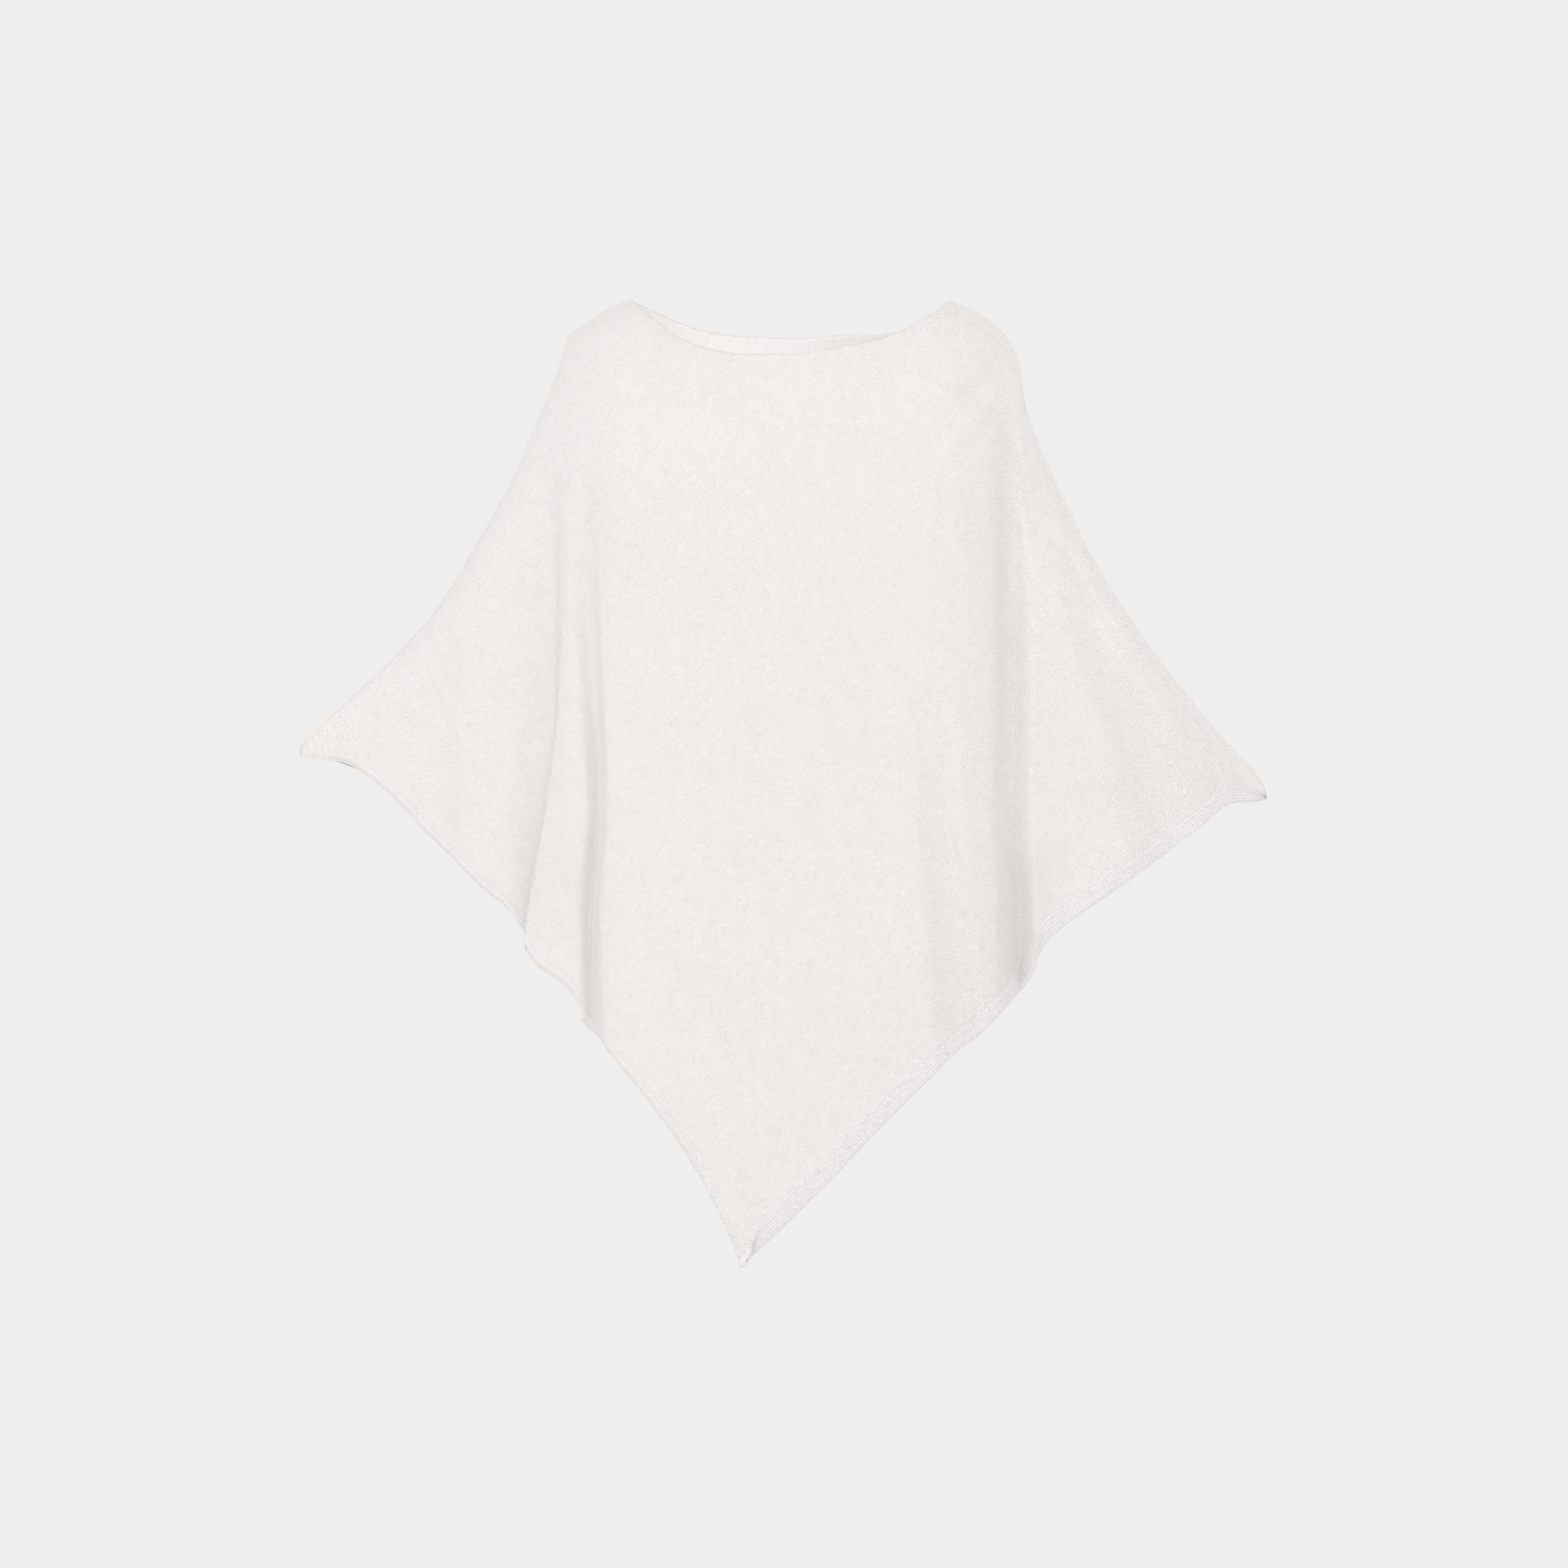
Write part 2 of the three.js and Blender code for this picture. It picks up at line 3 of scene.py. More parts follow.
import bpy
import numpy as np
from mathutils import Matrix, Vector


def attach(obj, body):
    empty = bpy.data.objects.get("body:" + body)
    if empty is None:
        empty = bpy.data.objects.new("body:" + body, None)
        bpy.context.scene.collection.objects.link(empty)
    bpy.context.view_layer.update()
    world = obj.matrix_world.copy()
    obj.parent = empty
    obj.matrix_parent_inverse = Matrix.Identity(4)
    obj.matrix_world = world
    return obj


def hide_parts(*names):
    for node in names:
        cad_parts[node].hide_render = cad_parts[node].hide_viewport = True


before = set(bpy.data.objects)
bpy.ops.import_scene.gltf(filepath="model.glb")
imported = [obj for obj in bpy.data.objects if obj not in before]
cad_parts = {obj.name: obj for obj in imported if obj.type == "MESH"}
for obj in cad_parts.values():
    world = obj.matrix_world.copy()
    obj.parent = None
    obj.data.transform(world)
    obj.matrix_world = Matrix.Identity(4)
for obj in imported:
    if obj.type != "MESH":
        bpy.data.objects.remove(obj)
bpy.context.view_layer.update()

# Knitted poncho in its worn, hollow form. Sizes are in millimetres until a mesh is made, +Z up, and the
# front faces -Y. The origin lies midway between the two neck corners.
MM = 0.001

# Driving sizes. The outline and the fullness are the solids' own. The neck's curve, the folds and the
# band's start are fitted more closely here.
WALL = 2.5
SEAM_GAP = 0.3
NECK_HALF_WIDTH = 151
TRIM_WIDTH = 5
OPENING_HALF_WIDTH = NECK_HALF_WIDTH + TRIM_WIDTH + SEAM_GAP
BAND_WIDTH = 14
BAND_SEAM = 0.4
BAND_START_LENGTH = 18
BAND_BEGINS = 4
LARGEST_BAND_SHARE = 0.4
LARGEST_ROUND_SHARE = 0.5
STEEPEST_BAND = 1.5
SLOPE_REACH = 15
FOLD_FREE_DEPTH = 70
CHEST_LEVEL = -260
POINT_LEVEL = -900
POINT_DRAWN_IN = 12
BODY_HALF_WIDTH = 220
FOLLOWED_COLUMN = -214
FOLLOWING_REACH = 75

# Ridge: the top line over both arms and shoulders, as (x, z)
RIDGE = [
    (-469, -427), (-450, -407), (-385, -347), (-342, -300), (-298, -229), (-266, -171),
    (-244, -120), (-222, -66), (-212, -36), (-200, -25), (-165, -5), (-151, 0),
    (-95, 7), (-57, 16), (-12, 25), (34, 25), (79, 13), (118, 2),
    (151, -1), (167, -8), (190, -22), (205, -37), (214, -53), (221, -93),
    (229, -122), (250, -170), (283, -239), (326, -309), (381, -382), (424, -432),
    (446, -456), (453, -470),
]

# Hems, as (x, z): left arm tip, point, right arm tip
FRONT_HEM = [
    (-469, -433), (-449, -439), (-430, -441), (-394, -463), (-339, -517), (-294, -559),
    (-262, -586), (-250, -602), (-241, -612), (-235, -622), (-226, -635), (-212, -646),
    (-200, -664), (-190, -686), (-162, -722), (-132, -758), (-86, -825), (-57, -882),
    (-46, -906), (-37, -898), (34, -829), (94, -767), (154, -710), (184, -685),
    (200, -670), (213, -656), (224, -636), (233, -616), (255, -594), (298, -564),
    (342, -535), (387, -502), (422, -479), (445, -478), (453, -476),
]
BACK_HEM = [
    (-469, -432), (-449, -436), (-394, -458), (-339, -508), (-294, -548), (-255, -577),
    (-232, -606), (-212, -640), (-185, -678), (-140, -735), (-90, -808), (-56, -864),
    (-38, -893), (-20, -880), (34, -824), (94, -764), (140, -716), (172, -682),
    (198, -640), (225, -606), (255, -584), (298, -556), (342, -526), (387, -496),
    (422, -474), (445, -474), (453, -474),
]

# Fullness, as (x, depth, round): how far a panel stands out, and the height over which it rounds out to it
FRONT_FULLNESS = [
    (-469, 5, 20), (-449, 8, 30), (-394, 20, 50), (-342, 38, 66), (-300, 54, 84),
    (-262, 64, 120), (-244, 67, 145), (-220, 78, 175), (-200, 93, 190), (-175, 110, 190),
    (-151, 118, 190), (-95, 126, 230), (0, 131, 282), (95, 126, 232), (151, 118, 190),
    (175, 110, 190), (200, 99, 205), (220, 94, 225), (255, 85, 130), (300, 75, 92),
    (342, 58, 74), (387, 38, 55), (422, 18, 36), (453, 5, 16),
]
BACK_FULLNESS = [
    (-469, 5, 20), (-449, 8, 30), (-394, 20, 50), (-342, 36, 66), (-300, 48, 84),
    (-250, 62, 135), (-222, 77, 170), (-190, 95, 165), (-151, 106, 160), (-95, 114, 195),
    (0, 118, 232), (95, 114, 195), (151, 106, 160), (190, 95, 175), (222, 78, 215),
    (255, 66, 130), (300, 52, 90), (342, 40, 72), (387, 26, 52), (422, 14, 34),
    (453, 5, 16),
]

# Folds, as (z, x, rise, left, right, lean): a level on the fold's line, how far it stands out there, its
# widths to either side, and how far its crest tips towards -X, where it does
LEFT_SIDE_RIDGE = [
    (-110, -212, 0, 14, 16, 0), (-250, -209, 7, 13, 24, 2), (-380, -210, 11, 11, 32, 5),
    (-488, -222, 13, 8, 44, 8), (-600, -238, 13, 7, 52, 11), (-670, -241, 14, 7, 54, 12),
]
FRONT_FOLDS = {
    "right side valley": [
        (-90, 205, 0, 20, 16), (-180, 205, -9, 20, 20), (-250, 206, -12, 20, 20),
        (-480, 206, -15, 21, 18), (-560, 211, -20, 23, 16), (-680, 214, -22, 25, 15),
    ],
    "left side ridge": LEFT_SIDE_RIDGE,
    "left side valley": [
        (-184, -190, 0, 14, 14), (-262, -190, -5, 15, 14), (-374, -183, -9, 13, 10),
        (-480, -178, -12, 12, 8), (-586, -185, -14, 12, 8), (-710, -182, -14, 12, 8),
    ],
    "right inner valley": [
        (-350, 131, 0, 26, 20), (-500, 142, -7, 28, 20), (-700, 159, -13, 30, 20),
    ],
    "right arm hollow": [
        (-190, 252, 0, 30, 30), (-305, 285, -8, 34, 38),
        (-412, 322, -11, 38, 44), (-500, 353, -7, 40, 44),
    ],
    "left arm valley": [
        (-300, -332, 0, 26, 28), (-400, -338, -6, 28, 30), (-530, -338, -8, 28, 32),
    ],
    "left arm ridge": [
        (-300, -268, 0, 44, 40), (-430, -268, 3, 48, 42), (-590, -274, 4, 50, 44),
    ],
}
BACK_FOLDS = {
    "left side valley": [
        (-120, -200, 0, 18, 34), (-380, -196, -20, 20, 46), (-670, -200, -30, 24, 50),
    ],
    "right side ridge": [
        (-190, 204, 0, 26, 18), (-420, 210, 16, 32, 19, -4), (-620, 218, 25, 38, 20, -8),
    ],
    "right side valley": [
        (-240, 170, 0, 18, 20), (-450, 167, -15, 20, 22), (-690, 170, -26, 22, 24),
    ],
    "middle fold": [
        (-300, 36, 0, 50, 44), (-520, 46, -8, 56, 46), (-820, 40, -13, 50, 44),
    ],
    "left inner fold": [
        (-340, -108, 0, 36, 40), (-520, -116, -9, 36, 42), (-780, -106, -14, 34, 40),
    ],
    "left arm valley": [
        (-270, -304, 0, 34, 34), (-400, -318, -9, 36, 36), (-540, -322, -12, 36, 36),
    ],
    "right arm valley": [
        (-290, 300, 0, 34, 36), (-410, 322, -8, 36, 40), (-530, 338, -10, 36, 40),
    ],
}

# Fine creases, in the same form, that only the dressed cloth has
FRONT_CREASES = {
    "right shoulder crease": [
        (-58, 206, 0, 18, 12), (-80, 188, -2.8, 24, 13), (-116, 158, -3.4, 28, 15),
        (-150, 130, -2.4, 28, 16), (-195, 92, 0, 30, 18),
    ],
    "right shoulder second crease": [
        (-105, 203, 0, 16, 10), (-140, 176, -1.6, 18, 12), (-182, 140, 0, 20, 14),
    ],
    "neck crease": [
        (-118, -33, 0, 10, 10), (-145, -42, -1.0, 12, 12), (-180, -52, 0, 12, 12),
    ],
    "centre crease": [
        (-320, 33, 0, 20, 16), (-430, 46, -1.6, 22, 18), (-590, 68, 0, 22, 18),
    ],
    "left body crease": [
        (-400, -148, 0, 10, 14), (-480, -144, -1.8, 12, 16), (-620, -142, 0, 12, 18),
    ],
    "hem dent": [
        (-712, 82, 0, 26, 20), (-748, 89, -2.4, 30, 24), (-800, 92, 0, 26, 20),
    ],
    "right arm crease": [
        (-395, 366, 0, 12, 12), (-418, 377, -2.0, 14, 12), (-452, 388, 0, 14, 12),
    ],
    "right arm tip crease": [
        (-425, 400, 0, 12, 10), (-444, 410, -1.6, 12, 10), (-470, 418, 0, 12, 10),
    ],
    "right arm hem shade": [
        (-510, 246, 0, 22, 30), (-560, 250, -6.5, 24, 34), (-600, 256, -6.5, 26, 34),
    ],
    "left arm inner valley": [
        (-330, -349, 0, 14, 12), (-400, -356, -2.2, 16, 12), (-480, -362, 0, 16, 12),
    ],
}
BACK_CREASES = {
    "left shoulder crease": [
        (-70, -196, 0, 12, 18), (-110, -168, -2.0, 14, 22), (-165, -128, 0, 16, 24),
    ],
    "middle crease": [
        (-220, -30, 0, 18, 16), (-330, -38, -1.8, 20, 18), (-470, -30, 0, 20, 18),
    ],
    "right body crease": [
        (-430, 112, 0, 16, 14), (-540, 118, -2.0, 18, 14), (-680, 112, 0, 16, 14),
    ],
    "neck crease": [
        (-96, 30, 0, 12, 12), (-130, 36, -1.2, 14, 12), (-175, 40, 0, 14, 12),
    ],
}

# Columns of the fine grid, as (x, step): finer over the folds
FRONT_STEPS = [
    (-469, 5.0), (-300, 4.0), (-262, 2.4), (-150, 3.8), (150, 3.0), (190, 1.6), (232, 3.4), (300, 4.6),
    (453, 0),
]
BACK_STEPS = [
    (-469, 5.0), (-300, 4.0), (-240, 2.4), (-160, 3.8), (140, 2.4), (262, 4.2), (453, 0),
]

# Columns close to the neck's corners, as distances in from them, and the room kept free of other columns
CORNER_INSETS = (0, 0.03, 0.12, 0.3, 0.6, 1.0, 1.6, 2.4, 3.5, 5.0, 7.0, 9.5)
FREE_BEFORE_CORNER = 0.8
FREE_PAST_INSETS = 1.5

# Rows of the fine grid, and its plain lower edge
ROUND_ROWS = 54
HANG_ROWS = 104
EDGE_ROWS = 14
EDGE_REACH = 14
LARGEST_EDGE_SHARE = 0.45
HEM_RIM = 1.1
PROBE = 0.5
SHORTEST = 1e-9


def curve_through(at, held):
    """A smooth curve through a table's rows that never swings past them."""
    at = np.array(at, float)
    held = np.array(held, float)
    step = np.diff(at)
    slope = np.diff(held) / step
    tangent = np.zeros(len(at))
    tangent[0] = slope[0]
    tangent[-1] = slope[-1]
    for i in range(1, len(at) - 1):
        if slope[i - 1] * slope[i] > 0:
            before = 2 * step[i] + step[i - 1]
            after = step[i] + 2 * step[i - 1]
            tangent[i] = (before + after) / (before / slope[i - 1] + after / slope[i])

    def value(x):
        x = np.clip(x, at[0], at[-1])
        i = np.clip(np.searchsorted(at, x, side="right") - 1, 0, len(step) - 1)
        t = (x - at[i]) / step[i]
        rest = 1 - t
        first = (1 + 2 * t) * rest * rest * held[i]
        second = t * t * (3 - 2 * t) * held[i + 1]
        return first + second + t * rest * step[i] * (rest * tangent[i] - t * tangent[i + 1])

    return value


def smooth_step(t):
    c = np.clip(t, 0, 1)
    return c * c * (3 - 2 * c)


ridge_table = curve_through([x for x, z in RIDGE], [z for x, z in RIDGE])
NECK_EVENING = 26
NECK_EVENING_FADE = 45
NECK_EVENING_SAMPLES = 9
NECK_EVENING_LEAST = 0.02


def ridge(s):
    """The ridge, evened out between the neck corners, where the trim runs in one smooth curve."""
    s = np.asarray(s, float)
    reach = NECK_EVENING * smooth_step((NECK_HALF_WIDTH - np.abs(s)) / NECK_EVENING_FADE)
    offsets = np.linspace(-1, 1, NECK_EVENING_SAMPLES)
    weights = np.cos(offsets * math.pi / 2) ** 2 + NECK_EVENING_LEAST
    total = sum(w * ridge_table(s + o * reach) for o, w in zip(offsets, weights))
    return total / weights.sum()


class Fold:
    """A fold's line, height and widths, as curves that run down it."""

    def __init__(self, rows):
        rows = [(*row, 0)[:6] for row in rows]
        down = [-row[0] for row in rows]
        self.top = rows[0][0]
        self.x, self.rise, self.left, self.right, self.lean = (
            curve_through(down, [row[k] for row in rows]) for k in range(1, 6)
        )

    def swell(self, s, z):
        away = s - self.x(-z)
        share = away / np.where(away < 0, self.left(-z), self.right(-z))
        return np.where((np.abs(share) < 1) & (z <= self.top), (1 - share * share) ** 2, 0)


class Panel:
    """One panel. neck is its neckline's depth, and how square that curve is to the left and right."""

    def __init__(
        self, side, facing, neck, hem, fullness, folds, creases, followed, steps, point_x, band_side,
    ):
        self.side = side
        self.facing = facing
        self.neck_depth, self.neck_left, self.neck_right = neck
        self.point_x = point_x
        self.band_side = band_side
        self.hem = curve_through([x for x, z in hem], [z for x, z in hem])
        self.depth = curve_through([row[0] for row in fullness], [row[1] for row in fullness])
        self.round = curve_through([row[0] for row in fullness], [row[2] for row in fullness])
        self.folds = [Fold(rows) for rows in folds.values()]
        self.creases = [Fold(rows) for rows in creases.values()]
        self.followed = Fold(followed) if followed else None
        columns = [steps[-1][0]]
        for (start, step), (end, _) in zip(steps, steps[1:]):
            count = max(1, round((end - start) / step))
            columns.extend(start + (end - start) * k / count for k in range(count))
        corners = [way * (OPENING_HALF_WIDTH - inset) for way in (-1, 1) for inset in CORNER_INSETS]
        inner = CORNER_INSETS[-1] + FREE_PAST_INSETS
        clear = [x for x in columns if not -FREE_BEFORE_CORNER < OPENING_HALF_WIDTH - abs(x) < inner]
        self.columns = np.sort(np.array(clear + corners, float))


FRONT = Panel(
    side="front", facing=-1, neck=(94.5, 2.65, 2.25), hem=FRONT_HEM, fullness=FRONT_FULLNESS,
    folds=FRONT_FOLDS, creases=FRONT_CREASES, followed=LEFT_SIDE_RIDGE, steps=FRONT_STEPS,
    point_x=-46, band_side=1,
)
BACK = Panel(
    side="back", facing=1, neck=(74.5, 1.95, 2.35), hem=BACK_HEM, fullness=BACK_FULLNESS,
    folds=BACK_FOLDS, creases=BACK_CREASES, followed=None, steps=BACK_STEPS,
    point_x=-38, band_side=-1,
)


def round_height(panel, s):
    return np.minimum(panel.round(s), LARGEST_ROUND_SHARE * (ridge(s) - panel.hem(s)))


def fold_shift(panel, s, z):
    """Where the folds and creases push a point that would lie at column s and height z."""
    out = np.zeros(np.broadcast(s, z).shape)
    along = np.zeros_like(out)
    for fold in panel.folds + panel.creases:
        swell = fold.swell(s, z)
        out += fold.rise(-z) * swell
        along -= fold.lean(-z) * swell
    free = smooth_step((ridge(s) - z) / FOLD_FREE_DEPTH)
    return out * free, along * free


def face_point(panel, s, angle, drop):
    """Points of a panel's outer face, as (..., 3)."""
    s, angle, drop = np.broadcast_arrays(*(np.asarray(v, float) for v in (s, angle, drop)))
    z = ridge(s) - round_height(panel, s) * (1 - np.cos(angle)) - drop
    lowered = np.clip((CHEST_LEVEL - z) / (CHEST_LEVEL - POINT_LEVEL), 0, 1)
    drawn_in = POINT_DRAWN_IN * lowered * np.maximum(0, 1 - (s / BODY_HALF_WIDTH) ** 2)
    out, along = fold_shift(panel, s, z)
    depth = (panel.depth(s) - drawn_in) * np.sin(angle) + out
    return np.stack([s + along, panel.facing * (depth + SEAM_GAP / 2), z], axis=-1)


def neck_angle(panel, s, half_width):
    """The neck's edge as an angle over the rounded top, for a loop of the given half width."""
    share = np.minimum(1, np.abs(s) / half_width)
    square = np.where(np.asarray(s) < 0, panel.neck_left, panel.neck_right)
    loop = (1 - share ** square) ** (1 / square)
    depth = (panel.neck_depth + half_width - NECK_HALF_WIDTH) * loop
    return np.arcsin(np.minimum(1, depth / panel.depth(s)))


def slant_of_hem(panel, s):
    """How much longer an upright line is than one drawn square to the hem."""
    slope = (panel.hem(s + SLOPE_REACH) - panel.hem(s - SLOPE_REACH)) / (2 * SLOPE_REACH)
    return np.hypot(1, np.minimum(STEEPEST_BAND, np.abs(slope)))


def band_share(panel, s):
    """1 where the tubular band is on the hem, 0 where the hem is plain."""
    return smooth_step((s - panel.point_x) * panel.band_side / BAND_START_LENGTH)


def band_height(panel, s):
    tall = LARGEST_BAND_SHARE * (ridge(s) - panel.hem(s))
    return np.minimum(BAND_WIDTH * slant_of_hem(panel, s), tall) * band_share(panel, s)


def hang_height(panel, s):
    """The height that hangs straight below the rounding, down to the hem."""
    return ridge(s) - round_height(panel, s) - panel.hem(s)


def grid_rows(panel, s):
    """The angle over the rounding and the drop below it for each point of a grid given as (column, row)."""
    row = np.arange(s.shape[1])[None, :]
    top = neck_angle(panel, s, OPENING_HALF_WIDTH)
    angle = top + (math.pi / 2 - top) * np.minimum(1, row / ROUND_ROWS)
    slant = slant_of_hem(panel, s)
    band = band_height(panel, s)
    hang = hang_height(panel, s) - np.where(band > 0, band + BAND_SEAM * slant, 0)
    hang = hang - HEM_RIM * slant * (1 - band_share(panel, s)) * np.minimum(1, hang / EDGE_REACH)
    edge = np.minimum(EDGE_REACH * slant, LARGEST_EDGE_SHARE * hang)
    body = np.clip((row - ROUND_ROWS) / HANG_ROWS, 0, 1)
    near = np.clip((row - ROUND_ROWS - HANG_ROWS) / EDGE_ROWS, 0, 1)
    return angle, body * (hang - edge) + near * edge


def followed_columns(panel):
    """The column of each grid point: straight down, or along the followed ridge, as (column, row)."""
    rows = ROUND_ROWS + HANG_ROWS + EDGE_ROWS + 1
    s = np.repeat(panel.columns[:, None], rows, axis=1)
    if panel.followed is None:
        return s
    share = np.clip((panel.columns - FOLLOWED_COLUMN) / FOLLOWING_REACH, -1, 1)[:, None]
    z = face_point(panel, s, *grid_rows(panel, s))[..., 2]
    aside = panel.followed.x(-z) - FOLLOWED_COLUMN
    grown = np.minimum(1, np.arange(rows) / ROUND_ROWS)[None, :]
    return s + aside * (1 - share * share) ** 2 * grown


def unit(v):
    return v / np.maximum(np.linalg.norm(v, axis=-1, keepdims=True), SHORTEST)


def face_normals(panel, s, angle, drop):
    """Outward directions of a panel's face at its grid points."""
    across = face_point(panel, s + PROBE, angle, drop) - face_point(panel, s - PROBE, angle, drop)
    down = np.gradient(face_point(panel, s, angle, drop), axis=1)
    return unit(np.cross(down, across) * -panel.facing)


def length_along(points, axis):
    """Length from the first point along an axis of a grid."""
    step = np.linalg.norm(np.diff(points, axis=axis), axis=-1)
    start = np.zeros_like(np.take(step, [0], axis=axis))
    return np.concatenate([start, np.cumsum(step, axis=axis)], axis=axis)


# Meshes

def make_piece(name, points, faces, cloth_map=None):
    """A mesh piece from points in millimetres and faces, turned to face outwards."""
    points = np.asarray(points, float) * MM
    if enclosed(points, faces) < 0:
        faces = [np.asarray(f)[:, ::-1] for f in faces]
    sizes = np.concatenate([np.full(len(f), np.asarray(f).shape[1]) for f in faces])
    corners = np.concatenate([np.asarray(f).reshape(-1) for f in faces])
    mesh = bpy.data.meshes.new(name)
    mesh.vertices.add(len(points))
    mesh.vertices.foreach_set("co", points.reshape(-1))
    mesh.loops.add(len(corners))
    mesh.loops.foreach_set("vertex_index", corners)
    mesh.polygons.add(len(sizes))
    mesh.polygons.foreach_set("loop_start", np.concatenate([[0], np.cumsum(sizes)[:-1]]))
    mesh.polygons.foreach_set("use_smooth", np.ones(len(sizes), bool))
    if cloth_map is not None:
        layer = mesh.uv_layers.new(name="cloth")
        layer.uv.foreach_set("vector", np.asarray(cloth_map, float)[corners].reshape(-1))
    mesh.update(calc_edges=True)
    mesh.validate()
    piece = bpy.data.objects.new(name, mesh)
    bpy.context.scene.collection.objects.link(piece)
    return piece


def enclosed(points, faces):
    """The volume inside a closed surface, negative where its faces point inwards."""
    total = 0.0
    for group in faces:
        group = np.asarray(group)
        for k in range(1, group.shape[1] - 1):
            a, b, c = points[group[:, 0]], points[group[:, k]], points[group[:, k + 1]]
            total += np.einsum("ij,ij->i", a, np.cross(b, c)).sum()
    return total / 6


def loop_faces(stations, around, closed_path):
    """Quads of a surface whose stations are closed loops, as (station, around)."""
    index = np.arange(stations * around).reshape(stations, around)
    if closed_path:
        index = np.vstack([index, index[:1]])
    a, b = index[:-1], index[1:]
    quads = np.stack([a, b, np.roll(b, -1, axis=1), np.roll(a, -1, axis=1)], axis=-1)
    return quads.reshape(-1, 4)


def end_strip(ring, outer_count, rim):
    """Faces that close the end of a wall whose ring runs down the outer face, round the rim and back up."""
    quads = []
    inner_top = len(ring) - 1
    for j in range(outer_count - 1):
        quads.append((ring[j], ring[j + 1], ring[inner_top - j - 1], ring[inner_top - j]))
    last = outer_count - 1
    rim_face = [ring[last + k] for k in range(rim + 2)]
    return np.array(quads), np.array([rim_face])


def rounded_rim(outer, inner, down, count):
    """Points of a half round from the outer edge to the inner one that bulges along down."""
    centre = (outer + inner) / 2
    reach = (outer - inner) / 2
    half = np.linalg.norm(reach, axis=-1, keepdims=True)
    turns = [math.pi * (k + 1) / (count + 1) for k in range(count)]
    return [centre + reach * math.cos(t) + down * half * math.sin(t) for t in turns]


def wall_rings(outer, inner, rim=3):
    """Closed rings of a cloth wall: down its outer face, round its lower rim and up its inner face."""
    down = unit(outer[:, -1] - outer[:, -2])
    rims = rounded_rim(outer[:, -1], inner[:, -1], down, rim)
    return np.concatenate([outer, np.stack(rims, axis=1), inner[:, ::-1]], axis=1)


# Panels

KNIT_TURN = math.radians(43)
ARM_CLOTH_STARTS = 230
ARM_CLOTH_EVENING = 170
SEAM_LINE_DROP = 7
SEAM_LINE_FURTHER = 14
SEAM_LINE_RAISE = 0.9
SEAM_LINE_SOFTNESS = 2.2
SEAM_SHOWS_LEFT = 0.35
SEAM_SHOWS_RIGHT = 1
SEAM_GROOVE_DEPTH = 0.6
SEAM_GROOVE_AT = 2.6
SEAM_GROOVE_WIDTH = 1.3
SEAM_STARTS_OVER = 20
SEAM_ENDS_AT = 460
SEAM_ENDS_OVER = 60
ARM_TIP = 462
ARM_TIP_NARROWS_OVER = 45
ROLL_REACH = 7
ROLL_DEPTH = 3.2
ROLL_SHARPNESS = 1.5
ROLL_BULGE = 0.6
ROLL_BULGE_WIDTH = 2.2
HEM_LINE_AT = 8
HEM_LINE_DEPTH = 0.5
HEM_LINE_WIDTH = 0.9
ROOM_FOR_ROLL = 30


def cloth_over_rounding(panel, s):
    """The length of cloth that the neck opening takes away over the rounded top, at each column."""
    steps = 24
    top = neck_angle(panel, s, OPENING_HALF_WIDTH)
    length = np.zeros_like(top)
    for k in range(steps):
        angle = top * (k + 0.5) / steps
        piece = np.hypot(panel.depth(s) * np.cos(angle), round_height(panel, s) * np.sin(angle))
        length += piece * top / steps
    return length


def cloth_across(panel, s, angle, drop):
    """The cloth's width from the middle to each grid point. The folds' share fades out along the arms."""
    middle = int(np.argmin(np.abs(panel.columns)))
    here = face_point(panel, s[:-1], angle[:-1], drop[:-1])
    beside = face_point(panel, s[1:], angle[:-1], drop[:-1])
    level = np.linalg.norm((beside - here)[..., :2], axis=-1)
    plain = np.hypot(np.diff(s, axis=0), np.diff(panel.depth(s), axis=0))
    first = np.zeros((1, s.shape[1]))
    folded, flat = (np.concatenate([first, np.cumsum(v, axis=0)]) for v in (level, plain))
    folded, flat = folded - folded[middle], flat - flat[middle]
    kept = 1 - smooth_step((np.abs(s) - ARM_CLOTH_STARTS) / ARM_CLOTH_EVENING)
    return flat + (folded - flat) * kept


def turned_lay(across, below, side):
    """Courses and wales of cloth whose rows run slanting, mirrored on the other panel."""
    course = (across * side * math.cos(KNIT_TURN) + below * math.sin(KNIT_TURN)) * side
    wale = -across * side * math.sin(KNIT_TURN) + below * math.cos(KNIT_TURN)
    return np.stack([course, wale], axis=-1)


def cloth_lay(panel, s, angle, drop, points):
    """Where each grid point lies on the flat cloth, along its courses and its wales, in millimetres."""
    over_top = cloth_over_rounding(panel, panel.columns)
    below = (ridge(panel.columns) - over_top)[:, None] - length_along(points, 1)
    return turned_lay(cloth_across(panel, s, angle, drop), below, panel.band_side)


def below_arm_tip(s):
    """0 at an arm's tip, and 1 where there is room for the whole seam allowance."""
    return (ARM_TIP - np.abs(s)) / ARM_TIP_NARROWS_OVER


